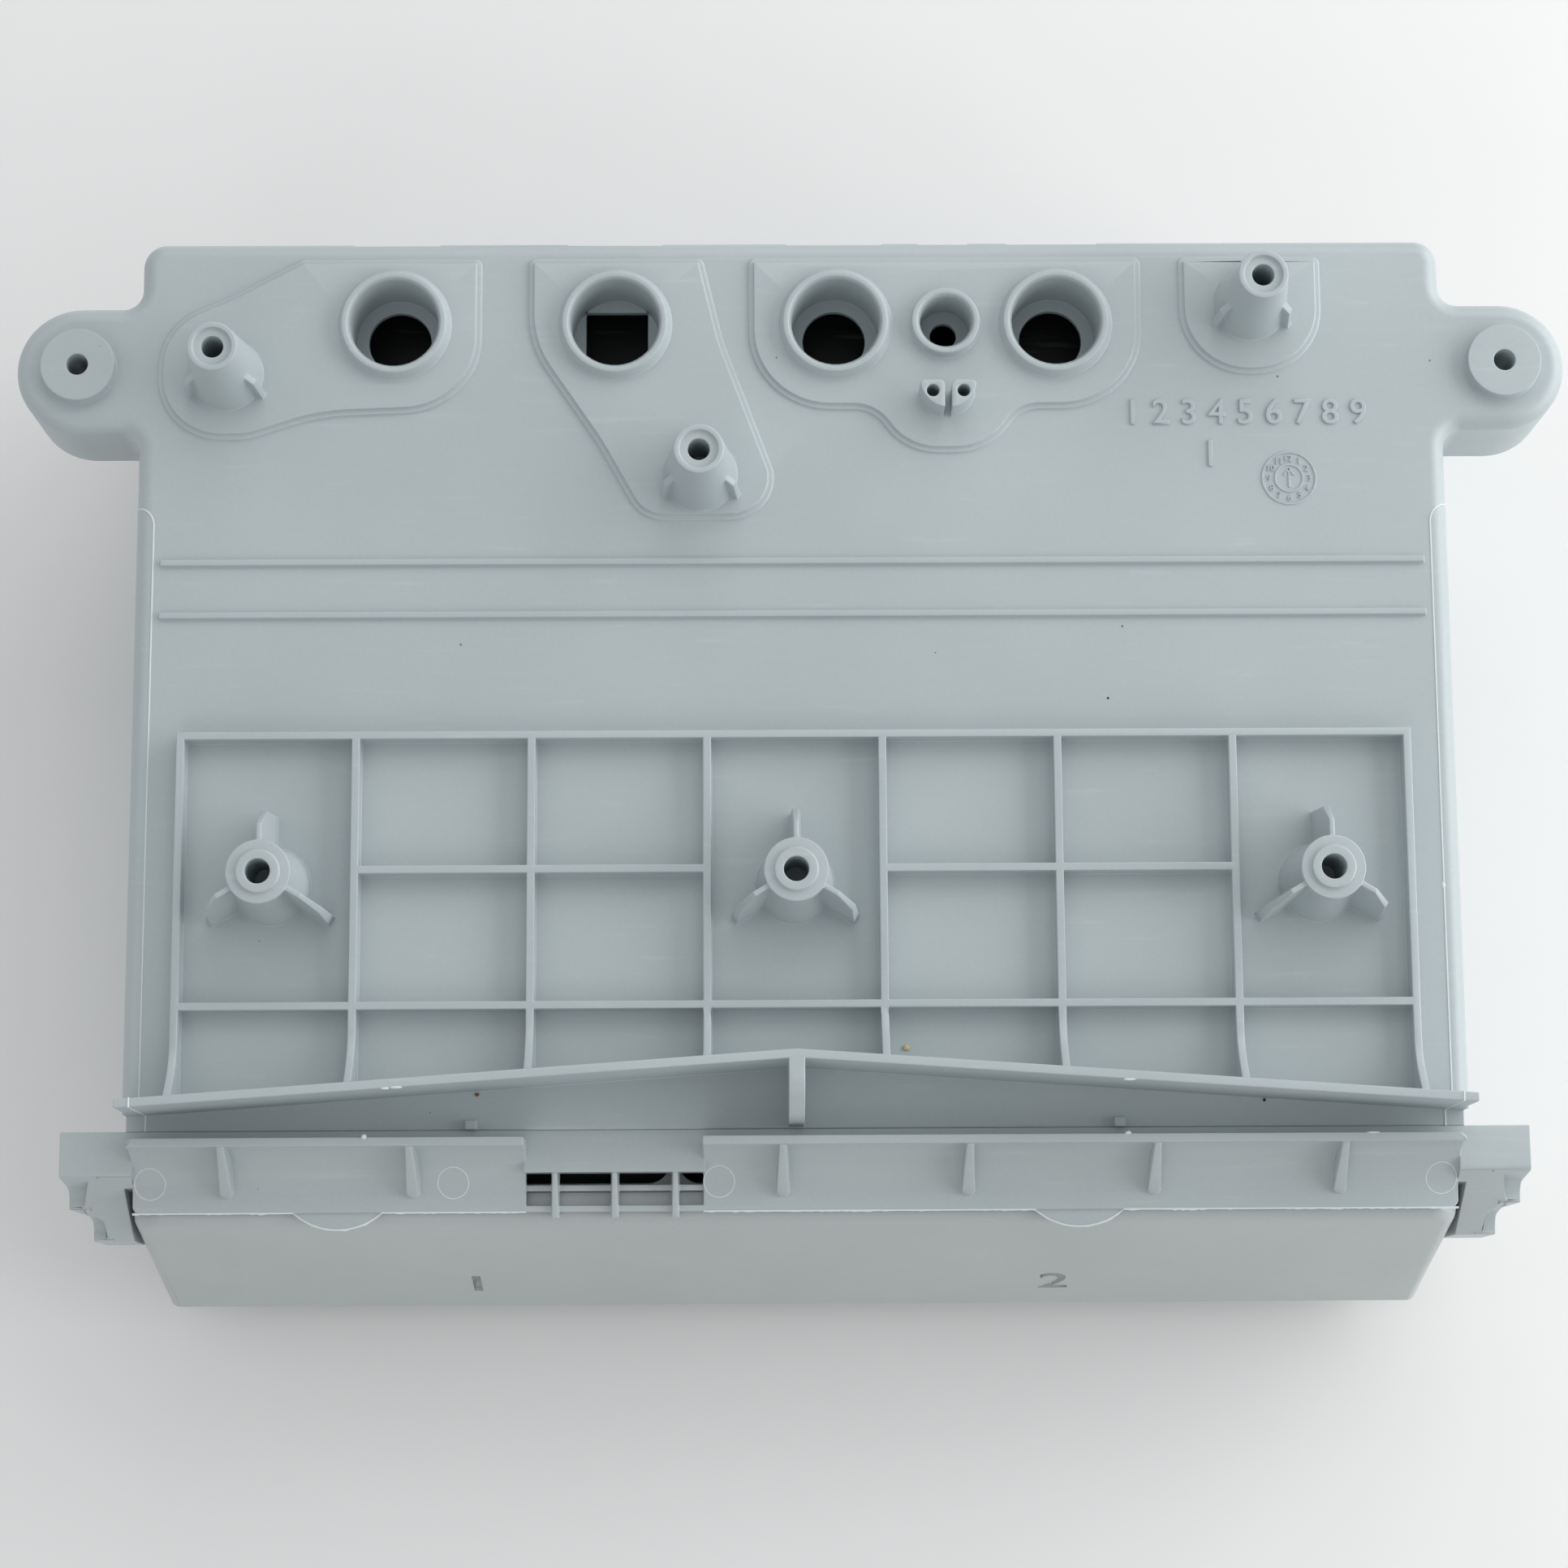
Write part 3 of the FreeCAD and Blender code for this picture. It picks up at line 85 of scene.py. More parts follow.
def linear(code):
    """sRGB hex colour as linear RGBA."""
    parts = [int(code[i:i + 2], 16) / 255.0 for i in (1, 3, 5)]
    return [c / 12.92 if c <= 0.04045 else ((c + 0.055) / 1.055) ** 2.4 for c in parts] + [1.0]


def add_node(tree, kind, inputs=None, **attributes):
    """Add a shader node, set its attributes, and give each named input a value or a link."""
    node = tree.nodes.new(kind)
    for name, value in attributes.items():
        setattr(node, name, value)
    for name, value in (inputs or {}).items():
        if isinstance(value, bpy.types.NodeSocket):
            tree.links.new(value, node.inputs[name])
        else:
            node.inputs[name].default_value = value
    return node


def per_mm(size):
    """Texture scale that makes one feature this many mm wide in object coordinates."""
    return 1.0 / (size * MM)


def blank_material(name):
    """New material with an empty node tree, and the object's own coordinates in it."""
    material = bpy.data.materials.new(name)
    material.use_nodes = True
    tree = material.node_tree
    tree.nodes.clear()
    place = add_node(tree, "ShaderNodeTexCoord").outputs["Object"]
    return material, tree, place


# Widths of the marks in the plastic's skin, in mm.
CLOUD_MM = 55.0
FLECK_MM = 1.1
SCUFF_MM = (24.0, 2.0, 2.0)
POLISH_MM = 18.0
GRAIN_MM = 0.45
GRAIN_DEEP_MM = 0.03
DUST_PITCH_MM = 38.0
DUST_R_MM = 0.30
FIBRE_MM = 30.0
CRUMB_MM = 0.4


def moulded_polypropylene(name, dark, light, roughness):
    """Injection-moulded polypropylene from a spark-eroded steel tool, a little used and dusty.

    The eye sees an even, slightly chalky satin: a very fine grain that breaks up the gloss, faint
    clouds where the melt flowed, pale flecks in the pigment, pale scuffs and a few dark specks.
    """
    material, tree, place = blank_material(name)

    # Flow clouds and pigment flecks.
    clouds = add_node(tree, "ShaderNodeTexNoise",
                      {"Vector": place, "Scale": per_mm(CLOUD_MM), "Detail": 3.0, "Roughness": 0.5})
    cloud_amount = add_node(tree, "ShaderNodeMapRange",
                            {"Value": clouds.outputs["Fac"], "From Min": 0.3, "From Max": 0.7})
    tone = add_node(tree, "ShaderNodeMix",
                    {"Factor": cloud_amount.outputs["Result"],
                     "A": linear(dark), "B": linear(light)}, data_type="RGBA")
    flecks = add_node(tree, "ShaderNodeTexNoise",
                      {"Vector": place, "Scale": per_mm(FLECK_MM), "Detail": 2.0})
    fleck_amount = add_node(tree, "ShaderNodeMapRange",
                            {"Value": flecks.outputs["Fac"], "From Min": 0.35, "From Max": 0.75,
                             "To Min": 0.988, "To Max": 1.016})
    pigment = add_node(tree, "ShaderNodeHueSaturation",
                       {"Value": fleck_amount.outputs["Result"], "Color": tone.outputs["Result"]})

    # Pale scuffs from handling, long across the part.
    drawn = add_node(tree, "ShaderNodeMapping",
                     {"Vector": place, "Scale": [per_mm(size) for size in SCUFF_MM]})
    streaks = add_node(tree, "ShaderNodeTexNoise",
                       {"Vector": drawn.outputs["Vector"], "Scale": 1.0, "Detail": 3.0})
    scuff_amount = add_node(tree, "ShaderNodeMapRange",
                            {"Value": streaks.outputs["Fac"], "From Min": 0.62, "From Max": 0.78,
                             "To Min": 0.0, "To Max": 0.16})
    scuffed = add_node(tree, "ShaderNodeMix",
                       {"Factor": scuff_amount.outputs["Result"], "A": pigment.outputs["Color"],
                        "B": linear("#d3d8d8")}, data_type="RGBA")

    # Dust lies on level faces: one place in each pitch, from nothing to a speck of full radius.
    spots = add_node(tree, "ShaderNodeTexVoronoi",
                     {"Vector": place, "Scale": per_mm(DUST_PITCH_MM)}, voronoi_dimensions="2D")
    chance = add_node(tree, "ShaderNodeSeparateColor", {"Color": spots.outputs["Color"]})
    reach = add_node(tree, "ShaderNodeMapRange",
                     {"Value": chance.outputs["Red"], "From Min": 0.55,
                      "To Max": DUST_R_MM / DUST_PITCH_MM})
    inside = add_node(tree, "ShaderNodeMath",
                      {0: spots.outputs["Distance"], 1: reach.outputs["Result"]},
                      operation="LESS_THAN")
    facing = add_node(tree, "ShaderNodeSeparateXYZ",
                      {"Vector": add_node(tree, "ShaderNodeNewGeometry").outputs["Normal"]})
    level = add_node(tree, "ShaderNodeMapRange",
                     {"Value": facing.outputs["Z"], "From Min": 0.9, "From Max": 0.97,
                      "To Max": 0.75})
    speck = add_node(tree, "ShaderNodeMath",
                     {0: inside.outputs["Value"], 1: level.outputs["Result"]},
                     operation="MULTIPLY")
    colour = add_node(tree, "ShaderNodeMix",
                      {"Factor": speck.outputs["Value"], "A": scuffed.outputs["Result"],
                       "B": linear("#5c5850")}, data_type="RGBA")

    # Gloss drifts with the tool's polish, and scuffs are duller.
    polish = add_node(tree, "ShaderNodeTexNoise",
                      {"Vector": place, "Scale": per_mm(POLISH_MM), "Detail": 2.0})
    gloss = add_node(tree, "ShaderNodeMapRange",
                     {"Value": polish.outputs["Fac"], "From Min": 0.3, "From Max": 0.7,
                      "To Min": roughness - 0.04, "To Max": roughness + 0.05})
    dulled = add_node(tree, "ShaderNodeMath",
                      {0: gloss.outputs["Result"], 1: scuff_amount.outputs["Result"]},
                      operation="ADD")

    # Spark grain is near 0.1 mm on the tool; drawn coarser so that it shows at this distance.
    grain = add_node(tree, "ShaderNodeTexNoise",
                     {"Vector": place, "Scale": per_mm(GRAIN_MM), "Detail": 2.0})
    skin = add_node(tree, "ShaderNodeBump",
                    {"Height": grain.outputs["Fac"], "Strength": 0.2,
                     "Distance": GRAIN_DEEP_MM * MM})

    shader = add_node(tree, "ShaderNodeBsdfPrincipled",
                      {"Base Color": colour.outputs["Result"], "Roughness": dulled.outputs["Value"],
                       "Normal": skin.outputs["Normal"], "IOR": 1.49})
    add_node(tree, "ShaderNodeOutputMaterial", {"Surface": shader.outputs["BSDF"]})
    return material


def studio_paper(name, tint):
    """Matt studio paper: an even pale sheet with a hardly visible fibre mottle."""
    material, tree, place = blank_material(name)
    fibre = add_node(tree, "ShaderNodeTexNoise",
                     {"Vector": place, "Scale": per_mm(FIBRE_MM), "Detail": 4.0})
    mottle = add_node(tree, "ShaderNodeMapRange",
                      {"Value": fibre.outputs["Fac"], "To Min": 0.99, "To Max": 1.01})
    colour = add_node(tree, "ShaderNodeHueSaturation",
                      {"Value": mottle.outputs["Result"], "Color": linear(tint)})
    shader = add_node(tree, "ShaderNodeBsdfPrincipled",
                      {"Base Color": colour.outputs["Color"], "Roughness": 0.9})
    add_node(tree, "ShaderNodeOutputMaterial", {"Surface": shader.outputs["BSDF"]})
    return material


FINISH = {
    "housing_pp": moulded_polypropylene("housing_polypropylene", "#acb6b8", "#b1bbbd", 0.37),
    "frame_pp": moulded_polypropylene("frame_polypropylene", "#acb5b6", "#b1babb", 0.37),
    "drawer_pp": moulded_polypropylene("drawer_polypropylene", "#aeb4b4", "#b3b9b9", 0.40),
    "inner_pp": moulded_polypropylene("inner_polypropylene", "#a4adaf", "#abb4b6", 0.42),
}

# The water plate under the sockets is coloured near black as painted shade, so that the throats
# look black from above.
PAINTED_SHADE_PLATE = moulded_polypropylene("painted_shade_polypropylene", "#1d2022", "#232729", 0.44)

# Flash and witness lines are thin, so light passes a little through the plastic; their much paler
# tone is mostly a painted highlight for the bright lines that their small rounded edges catch.
FLASH_PAINTED_HIGHLIGHT = moulded_polypropylene("flash_painted_highlight_polypropylene", "#d0d8d9", "#dae1e1", 0.35)


WELD_MM = 0.002
EDGE_SEGMENTS = 2
SHARP_ANGLE = math.radians(35.0)


def round_edges(made, radius):
    """Weld the faces of a mesh together and round its sharp edges by this radius in mm."""
    weld = made.modifiers.new("weld", "WELD")
    weld.merge_threshold = WELD_MM * MM
    edge = made.modifiers.new("moulded_edge", "BEVEL")
    edge.width = radius * MM
    edge.segments = EDGE_SEGMENTS
    edge.limit_method = "ANGLE"
    edge.angle_limit = SHARP_ANGLE
    edge.use_clamp_overlap = False
    edge.loop_slide = False
    edge.miter_outer = "MITER_SHARP"


def weigh_normals(made):
    """Let the large faces set the shading where small ones meet them."""
    normals = made.modifiers.new("normals", "WEIGHTED_NORMAL")
    normals.mode = "FACE_AREA_WITH_ANGLE"
    normals.weight = 50
    normals.keep_sharp = True


def finish_node(name, cad):
    """Give a CAD node its material and the small round that its edges leave the tool with."""
    slot = next(row["material_slot"] for row in frame["record"]["subparts"] if row["node"] == name)
    cad.data.materials.clear()
    # The shower plate gets the near-black finish: painted shade seen down the throats.
    cad.data.materials.append(PAINTED_SHADE_PLATE if name == "shower_plate" else FINISH[slot])
    cad.data.shade_smooth()
    round_edges(cad, EDGE_RADIUS[name])
    weigh_normals(cad)


for node_name, cad_node in frame["nodes"].items():
    finish_node(node_name, cad_node)


def loose_object(name, data):
    """Object with this data, linked into the scene."""
    made = bpy.data.objects.new(name, data)
    bpy.context.scene.collection.objects.link(made)
    return made


def piece(name, bm, body, slot, finish=None):
    """Turn a bmesh in mm into a piece that rides on a body, in the slot's finish or its own."""
    bmesh.ops.recalc_face_normals(bm, faces=bm.faces)
    bm.transform(Matrix.Scale(MM, 4))
    mesh = bpy.data.meshes.new(name)
    bm.to_mesh(mesh)
    bm.free()
    mesh.materials.append(finish or FINISH[slot])
    made = loose_object(name, mesh)
    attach(made, body)
    return made


def add_bead(bm, path, up, radius, sides=6, closed=False):
    """Round bead along a path of points, with the side direction taken from the up vectors."""
    count = len(path)
    rings = []
    for k in range(count):
        ahead = path[(k + 1) % count] if closed or k + 1 < count else path[k]
        behind = path[k - 1] if closed or k > 0 else path[k]
        along = (ahead - behind).normalized()
        side = along.cross(up[k]).normalized()
        ring = []
        for i in range(sides):
            a = 2.0 * math.pi * i / sides
            ring.append(bm.verts.new(path[k] + radius * (math.cos(a) * side + math.sin(a) * up[k])))
        rings.append(ring)
    last = count if closed else count - 1
    for k in range(last):
        a = rings[k]
        b = rings[(k + 1) % count]
        for i in range(sides):
            j = (i + 1) % sides
            bm.faces.new((a[i], a[j], b[j], b[i]))
    if not closed:
        bm.faces.new(rings[0])
        bm.faces.new(rings[-1])


# Parting line of the side slides: a thin witness along the deck's rounded edge and over the dam.
PARTING_R = 0.22
PARTING_SINK = 0.2
PARTING_TURN_STEPS = 12
PARTING_RUN_STEPS = 29
PARTING_X = 148.1
PARTING_REAR_Y = 59.0
PARTING_TURN = 4.4


def edge_point(x, y):
    """Point and outward normal on the deck or its rounded side edge."""
    start = BODY_HALF_W - TOP_EDGE_R
    over = max(0.0, abs(x) - start)
    rise = math.sqrt(max(0.0, TOP_EDGE_R ** 2 - over ** 2))
    up = Vector((math.copysign(over / TOP_EDGE_R, x), 0.0, rise / TOP_EDGE_R))
    return Vector((x, y, DECK_Z - TOP_EDGE_R + rise)), up


def parting_line(name, s):
    """Witness line on the left or right side, from the rear of the deck to the seam."""
    dam_y = DAM_APEX_Y + (DAM_END_Y - DAM_APEX_Y) * PARTING_X / BODY_HALF_W
    back = dam_y + DAM_T / 2.0
    front = dam_y - DAM_T / 2.0
    spots = []
    for k in range(PARTING_TURN_STEPS + 1):
        a = math.radians(90.0 * k / PARTING_TURN_STEPS)
        spots.append((PARTING_X + PARTING_TURN * (1.0 - math.sin(a)),
                      PARTING_REAR_Y - PARTING_TURN * (1.0 - math.cos(a))))
    end = spots[-1][1]
    for k in range(1, PARTING_RUN_STEPS + 1):
        spots.append((PARTING_X, end + (back - end) * k / PARTING_RUN_STEPS))
    path = []
    up = []
    for x, y in spots:
        p, n = edge_point(s * min(x, BODY_HALF_W), y)
        path.append(p - PARTING_SINK * PARTING_R * n)
        up.append(n)
    # Up the back of the dam, across its top, down its front and along the low deck.
    x = s * PARTING_X
    bends = [(back, DAM_TOP_Z, 1.0, 1.0), (front, DAM_TOP_Z, -1.0, 1.0),
             (front, LOW_DECK_Z, -1.0, 1.0), (SEAM_Y, LOW_DECK_Z, 0.0, 1.0)]
    for y, z, ny, nz in bends:
        path.append(Vector((x, y, z)))
        up.append(Vector((0.0, ny, nz)).normalized())
    bm = bmesh.new()
    add_bead(bm, path, up, PARTING_R)
    # The pale flash finish gives the witness line a painted highlight.
    return piece(name, bm, "housing", "housing_pp", FLASH_PAINTED_HIGHLIGHT)


parting_line("parting_line_left", -1)
parting_line("parting_line_right", 1)


# Ejector pins leave round witness marks in the cove.
EJECTOR_X = (-147.2, -78.2, -17.6, 147.3)
EJECTOR_Y = -96.7
EJECTOR_R = 3.5
EJECTOR_BEAD_R = 0.16
EJECTOR_SINK = 0.4
EJECTOR_STEPS = 48


def cove_point(x, y):
    """Point and upward normal on the hollow of the cove and its level lip."""
    mid = COVE_BACK_Y - COVE_R
    if y < mid:
        return Vector((x, y, LIP_TOP_Z)), Vector((0.0, 0.0, 1.0))
    over = y - mid
    drop = math.sqrt(COVE_R ** 2 - over ** 2)
    return Vector((x, y, LIP_TOP_Z + COVE_R - drop)), Vector((0.0, -over / COVE_R, drop / COVE_R))


def ejector_mark(name, x):
    """Fine ring in the cove, where a pin pushed the moulding out."""
    path = []
    up = []
    for k in range(EJECTOR_STEPS):
        a = 2.0 * math.pi * k / EJECTOR_STEPS
        p, n = cove_point(x + EJECTOR_R * math.cos(a), EJECTOR_Y + EJECTOR_R * math.sin(a))
        path.append(p - EJECTOR_SINK * EJECTOR_BEAD_R * n)
        up.append(n)
    bm = bmesh.new()
    add_bead(bm, path, up, EJECTOR_BEAD_R, closed=True)
    # The pale flash finish gives the ring a painted highlight.
    return piece(name, bm, "housing", "frame_pp", FLASH_PAINTED_HIGHLIGHT)


for number, mark_x in enumerate(EJECTOR_X, 1):
    ejector_mark("ejector_mark_%d" % number, mark_x)


# Thin flash that squeezed out along the front of the lip and round its two half-round tabs.
FLASH_STEP = 0.9
FLASH_T = 0.10
FLASH_ROOT = 0.15
FLASH_OUT = 0.22
FLASH_WAVE = 0.42
FLASH_CURL = 0.10
FLASH_RISE = 0.06
TAB_X = (-104.6, 64.6)
TAB_R = 15.2
TAB_OUT = 3.8
TAB_TOP_Z = 76.0


def lip_edge(x0, x1):
    """Points along the lip's front edge and round its tabs, each with its outward direction."""
    mid_y = LIP_Y + TAB_R - TAB_OUT
    half = math.acos((TAB_R - TAB_OUT) / TAB_R)
    reach = TAB_R * math.sin(half)
    rows = []

    def straight(a, b):
        steps = int((b - a) / FLASH_STEP)
        for k in range(steps + 1):
            spot = Vector((a + (b - a) * k / steps, LIP_Y, LIP_TOP_Z))
            rows.append((spot, Vector((0.0, -1.0, 0.0))))

    start = x0
    for tab in TAB_X:
        if x0 < tab < x1:
            straight(start, tab - reach)
            steps = int(2.0 * half * TAB_R / FLASH_STEP)
            for k in range(steps + 1):
                turn = half * (2.0 * k / steps - 1.0)
                out = Vector((math.sin(turn), -math.cos(turn), 0.0))
                rows.append((Vector((tab, mid_y, TAB_TOP_Z)) + TAB_R * out, out))
            start = tab + reach
    straight(start, x1)
    return rows


def lip_flash(name, x0, x1):
    """Ragged thin strip that sticks out of the lip's edge between two places."""
    bm = bmesh.new()
    rings = []
    high = Vector((0.0, 0.0, 1.0))
    for edge, out in lip_edge(x0, x1):
        x = edge.x
        ragged = noise.noise(Vector((x * 0.9, 3.7, 0.0)))
        drift = noise.noise(Vector((x * 0.12, 9.1, 0.0)))
        reach = FLASH_OUT + max(0.0, FLASH_WAVE * (ragged + 0.6 * drift))
        curl = FLASH_CURL * noise.noise(Vector((x * 0.4, 5.0, 1.3)))
        corners = ((-FLASH_ROOT, -FLASH_T), (reach, curl - FLASH_T),
                   (reach, curl), (-FLASH_ROOT, FLASH_RISE))
        rings.append([bm.verts.new(edge + far * out + rise * high) for far, rise in corners])
    for a, b in zip(rings, rings[1:]):
        for i in range(4):
            j = (i + 1) % 4
            bm.faces.new((a[i], a[j], b[j], b[i]))
    bm.faces.new(rings[0])
    bm.faces.new(rings[-1])
    # The pale flash finish gives the lip's edge a painted highlight.
    return piece(name, bm, "housing", "frame_pp", FLASH_PAINTED_HIGHLIGHT)


lip_flash("lip_flash_left", -COVE_HALF_L, WINDOW_X[0])
lip_flash("lip_flash_right", WINDOW_X[1], COVE_HALF_L)


def dry_crumb(name, dark, light):
    """Dry crumb of dirt: matt and finely mottled."""
    material, tree, place = blank_material(name)
    mottle = add_node(tree, "ShaderNodeTexNoise",
                      {"Vector": place, "Scale": per_mm(CRUMB_MM), "Detail": 2.0})
    colour = add_node(tree, "ShaderNodeMix",
                      {"Factor": mottle.outputs["Fac"], "A": linear(dark), "B": linear(light)},
                      data_type="RGBA")
    shader = add_node(tree, "ShaderNodeBsdfPrincipled",
                      {"Base Color": colour.outputs["Result"], "Roughness": 0.85})
    add_node(tree, "ShaderNodeOutputMaterial", {"Surface": shader.outputs["BSDF"]})
    return material


# Crumbs of dirt and some torn flash: place and half sizes in mm, slot and finish.
LUMP_UNEVEN = 0.22
LUMP_WAVES = 1.7
DARK_CRUMB = dry_crumb("dark_crumb", "#2a2c2c", "#3c3d3b")
LUMPS = {
    "crumb_dark_1": ((106.9, -79.0, 81.05), (0.36, 0.36, 0.22), "housing_pp", DARK_CRUMB),
    "crumb_dark_2": ((72.3, 12.9, 90.0), (0.28, 0.28, 0.15), "housing_pp", DARK_CRUMB),
    "crumb_tan": ((24.9, -67.6, 90.2), (0.80, 0.62, 0.45), "housing_pp",
                  dry_crumb("tan_crumb", "#b59a66", "#d9c79c")),
    "crumb_rust": ((-72.7, -76.9, 81.1), (0.48, 0.42, 0.30), "housing_pp",
                   dry_crumb("rust_crumb", "#6e4028", "#96603c")),
    # Torn flash and burrs take the pale flash finish, partly a painted highlight.
    "torn_flash_1": ((-91.4, -77.4, 103.8), (0.9, 0.28, 0.20), "housing_pp", FLASH_PAINTED_HIGHLIGHT),
    "torn_flash_2": ((-88.9, -77.2, 103.8), (1.4, 0.30, 0.22), "housing_pp", FLASH_PAINTED_HIGHLIGHT),
    "torn_flash_3": ((73.9, -76.2, 103.8), (1.4, 0.28, 0.20), "housing_pp", FLASH_PAINTED_HIGHLIGHT),
    "burr_line": ((148.0, -30.9, 89.9), (0.4, 1.0, 0.30), "housing_pp", FLASH_PAINTED_HIGHLIGHT),
    "burr_cove_left": ((-97.4, -87.0, 89.9), (0.62, 0.60, 0.50), "frame_pp", FLASH_PAINTED_HIGHLIGHT),
    "burr_cove_right": ((74.7, -87.0, 89.9), (0.70, 0.40, 0.30), "frame_pp", FLASH_PAINTED_HIGHLIGHT),
    "torn_flash_4": ((130.0, -87.2, 89.9), (1.5, 0.25, 0.20), "frame_pp", FLASH_PAINTED_HIGHLIGHT),
}


def lump(name, spot, half, slot, finish):
    """Small uneven lump, half sunk in the face that it sticks to."""
    bm = bmesh.new()
    bmesh.ops.create_icosphere(bm, subdivisions=3, radius=1.0)
    for v in bm.verts:
        v.co *= 1.0 + LUMP_UNEVEN * noise.noise(LUMP_WAVES * v.co + Vector(spot))
    bm.transform(Matrix.Translation(spot) @ Matrix.Diagonal((*half, 1.0)))
    return piece(name, bm, "housing", slot, finish)


for lump_name, lump_row in LUMPS.items():
    lump(lump_name, *lump_row)


# Plain numerals are sunk into the drawer front where it is marked.
NUMERAL_H = 11.0
NUMERAL_DEPTH = 1.0
NUMERAL_BOLD = 0.30
NUMERAL_Z = 32.0
NUMERALS = {"1": -76.0, "2": 62.0}
FONT_SIZE_PER_HEIGHT = 1.4
FIGURE_JOIN = 0.001


def front_frame_at(x, z):
    """Drawing plane on the leaning drawer front: X across, Y up the face, Z outwards."""
    run = FRONT_TOP[0] - FRONT_BOTTOM[0]
    rise = FRONT_TOP[1] - FRONT_BOTTOM[1]
    lean = Vector((0.0, run, rise)).normalized()
    out = Vector((1.0, 0.0, 0.0)).cross(lean)
    share = (z - FRONT_BOTTOM[1]) / rise
    y = FRONT_BOTTOM[0] + run * share
    turn = Matrix(((1.0, 0.0, 0.0), lean, out)).transposed().to_4x4()
    return Matrix.Translation((x, y, z)) @ turn


def numeral_mesh(text, height, raise_mm, rounding, bold=0.0):
    """Figures of this height as a closed bmesh in mm, centred on the drawing plane."""
    curve = bpy.data.curves.new("numeral_curve", "FONT")
    curve.body = text
    curve.size = FONT_SIZE_PER_HEIGHT * height
    curve.extrude = raise_mm - rounding
    curve.bevel_depth = rounding
    curve.bevel_resolution = 2
    curve.offset = bold - rounding / 2.0
    holder = bpy.data.objects.new("numeral_holder", curve)
    mesh = bpy.data.meshes.new_from_object(holder)
    bm = bmesh.new()
    bm.from_mesh(mesh)
    bpy.data.objects.remove(holder)
    bpy.data.curves.remove(curve)
    bpy.data.meshes.remove(mesh)
    bmesh.ops.remove_doubles(bm, verts=bm.verts, dist=FIGURE_JOIN)
    low = [min(v.co[k] for v in bm.verts) for k in (0, 1)]
    high = [max(v.co[k] for v in bm.verts) for k in (0, 1)]
    size = height / (high[1] - low[1])
    bm.transform(Matrix.Diagonal((size, size, 1.0, 1.0))
                 @ Matrix.Translation((-(low[0] + high[0]) / 2.0, -(low[1] + high[1]) / 2.0, 0.0)))
    return bm


def engraved_front(name):
    """Drawer front with its numerals cut in, made from the node's own mesh and rounded edges."""
    whole = loose_object("uncut_front", frame["nodes"]["drawer_front"].data.copy())
    round_edges(whole, EDGE_RADIUS["drawer_front"])
    cutters = []
    for figure, x in NUMERALS.items():
        bm = numeral_mesh(figure, NUMERAL_H, NUMERAL_DEPTH, 0.0, NUMERAL_BOLD)
        bm.transform(Matrix.Scale(MM, 4) @ front_frame_at(x, NUMERAL_Z))
        bmesh.ops.recalc_face_normals(bm, faces=bm.faces)
        mesh = bpy.data.meshes.new("cutter_" + figure)
        bm.to_mesh(mesh)
        bm.free()
        cutters.append(loose_object(mesh.name, mesh))
        cut = whole.modifiers.new(mesh.name, "BOOLEAN")
        cut.operation = "DIFFERENCE"
        cut.solver = "EXACT"
        cut.object = cutters[-1]
    graph = bpy.context.evaluated_depsgraph_get()
    mesh = bpy.data.meshes.new_from_object(whole.evaluated_get(graph))
    for spare in [whole] + cutters:
        old = spare.data
        bpy.data.objects.remove(spare)
        bpy.data.meshes.remove(old)
    mesh.materials.clear()
    mesh.materials.append(FINISH["drawer_pp"])
    mesh.shade_smooth()
    mesh.set_sharp_from_angle(angle=SHARP_ANGLE)
    mesh.name = name
    made = loose_object(name, mesh)
    weigh_normals(made)
    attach(made, "drawer")
    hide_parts("drawer_front")
    return made


engraved_front("drawer_front_engraved")


# Plain counting figures and a mould clock stand where the deck is marked.
FIGURE_ROWS = {
    "figure_row": ("1 2 3 4 5 6 7 8 9", 106.5, 81.0),
    "figure_one": ("1", 97.4, 71.0),
}
FIGURE_H = 6.2
FIGURE_RAISE = 0.50
FIGURE_ROUND = 0.20
CLOCK_X = 115.6
CLOCK_Y = 65.0
CLOCK_R = 6.2
CLOCK_BEAD_R = 0.30
CLOCK_STEPS = 64
CLOCK_INNER = 0.52
CLOCK_FIGURES_AT = 0.76
CLOCK_FIGURE_H = 1.5
CLOCK_FIGURE_RAISE = 0.3
CLOCK_FIGURE_ROUND = 0.04
POINTER_TIP = 2.2
POINTER_BARB = (1.2, 0.7)

for row_name, (figures, row_x, row_y) in FIGURE_ROWS.items():
    figure_bm = numeral_mesh(figures, FIGURE_H, FIGURE_RAISE, FIGURE_ROUND)
    figure_bm.transform(Matrix.Translation((row_x, row_y, DECK_Z)))
    piece(row_name, figure_bm, "housing", "housing_pp")


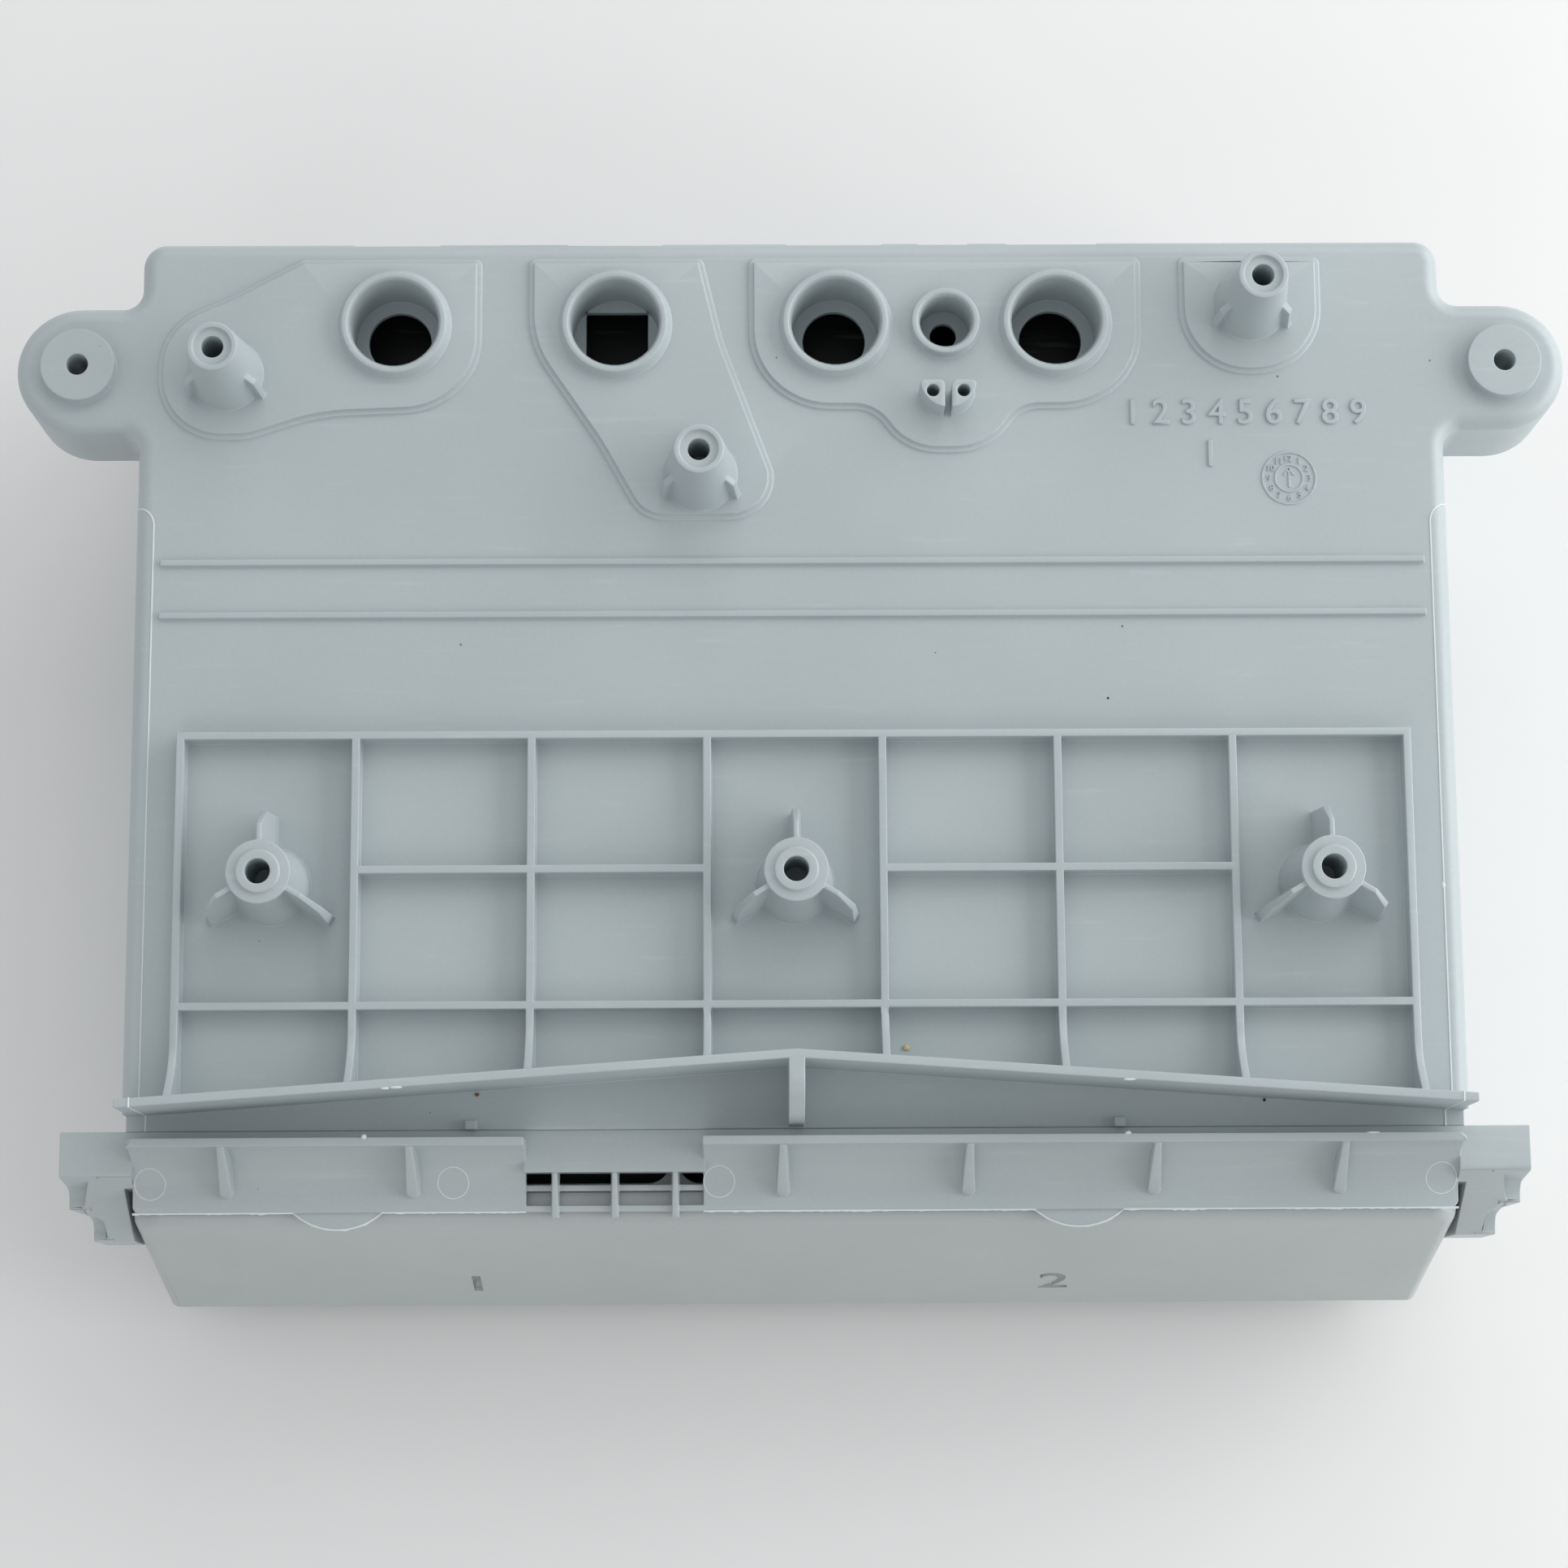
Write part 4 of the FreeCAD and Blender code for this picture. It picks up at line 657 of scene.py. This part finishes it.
def mould_clock(name):
    """Ring with twelve plain numbers and a pointer."""
    bm = bmesh.new()
    mid = Vector((CLOCK_X, CLOCK_Y, DECK_Z))
    high = Vector((0.0, 0.0, 1.0))
    for r in (CLOCK_R, CLOCK_R * CLOCK_INNER):
        path = []
        for k in range(CLOCK_STEPS):
            a = 2.0 * math.pi * k / CLOCK_STEPS
            path.append(mid + Vector((r * math.cos(a), r * math.sin(a), 0.0)))
        add_bead(bm, path, [high] * CLOCK_STEPS, CLOCK_BEAD_R, closed=True)
    shaft = [mid + Vector((0.0, y, 0.0)) for y in (-POINTER_TIP, 0.0, POINTER_TIP)]
    add_bead(bm, shaft, [high] * 3, CLOCK_BEAD_R)
    for s in (-1, 1):
        barb = [mid + Vector((s * POINTER_BARB[0], POINTER_BARB[1], 0.0)),
                mid + Vector((0.0, POINTER_TIP, 0.0))]
        add_bead(bm, barb, [high] * 2, CLOCK_BEAD_R)
    for hour in range(1, 13):
        a = math.radians(90.0 - 30.0 * hour)
        spot = mid + CLOCK_FIGURES_AT * CLOCK_R * Vector((math.cos(a), math.sin(a), 0.0))
        figure_bm = numeral_mesh(str(hour), CLOCK_FIGURE_H, CLOCK_FIGURE_RAISE, CLOCK_FIGURE_ROUND)
        figure_bm.transform(Matrix.Translation(spot))
        loose = bpy.data.meshes.new("clock_figure")
        figure_bm.to_mesh(loose)
        figure_bm.free()
        bm.from_mesh(loose)
        bpy.data.meshes.remove(loose)
    return piece(name, bm, "housing", "housing_pp")


mould_clock("mould_clock")


# Floor, light and camera. Lamps: place in metres, width and height in metres, watts.
FLOOR_HALF_M = 4.0
AIR_STRENGTH = 0.52
LAMPS = {
    "right_window": ((1.10, 0.20, 0.50), (1.8, 0.8), 14.5),
    "rear_softbox": ((0.40, 1.80, 1.60), (1.8, 1.8), 14.0),
    "left_softbox": ((-1.60, 0.60, 1.60), (1.8, 1.8), 4.0),
    "front_softbox": ((-0.50, -1.75, 1.28), (1.6, 1.6), 6.0),
}


def studio():
    """Pale paper floor, even air light and soft lamps that look at the object."""
    bm = bmesh.new()
    bmesh.ops.create_grid(bm, x_segments=2, y_segments=2, size=FLOOR_HALF_M)
    mesh = bpy.data.meshes.new("floor")
    bm.to_mesh(mesh)
    bm.free()
    mesh.materials.append(studio_paper("studio_paper", "#e8e8e7"))
    floor = loose_object("floor", mesh)

    world = bpy.data.worlds.new("studio_air")
    bpy.context.scene.world = world
    world.use_nodes = True
    tree = world.node_tree
    tree.nodes.clear()
    air = add_node(tree, "ShaderNodeBackground",
                   {"Color": linear("#fbfcff"), "Strength": AIR_STRENGTH})
    add_node(tree, "ShaderNodeOutputWorld", {"Surface": air.outputs["Background"]})

    for name, (spot, (width, height), watts) in LAMPS.items():
        data = bpy.data.lights.new(name, "AREA")
        data.shape = "RECTANGLE"
        data.size = width
        data.size_y = height
        data.energy = watts
        lamp = loose_object(name, data)
        lamp.location = spot
        lamp.rotation_euler = (-Vector(spot)).to_track_quat("-Z", "Y").to_euler()


def photo_camera():
    """Camera fitted to the photograph."""
    data = bpy.data.cameras.new("photo_camera")
    data.sensor_width = SENSOR_MM
    data.lens = SENSOR_MM * FOCAL_PX / IMAGE_PX
    camera = loose_object("photo_camera", data)
    into = Matrix.Identity(3)
    for axis in ("Z", "X", "Y"):
        into = into @ Matrix.Rotation(math.radians(CAMERA_TURN[axis]), 3, axis)
    camera.matrix_world = Matrix.Translation(Vector(CAMERA_MM) * MM) @ into.transposed().to_4x4()
    bpy.context.scene.camera = camera


studio()
photo_camera()
bpy.context.scene.view_settings.view_transform = "Standard"
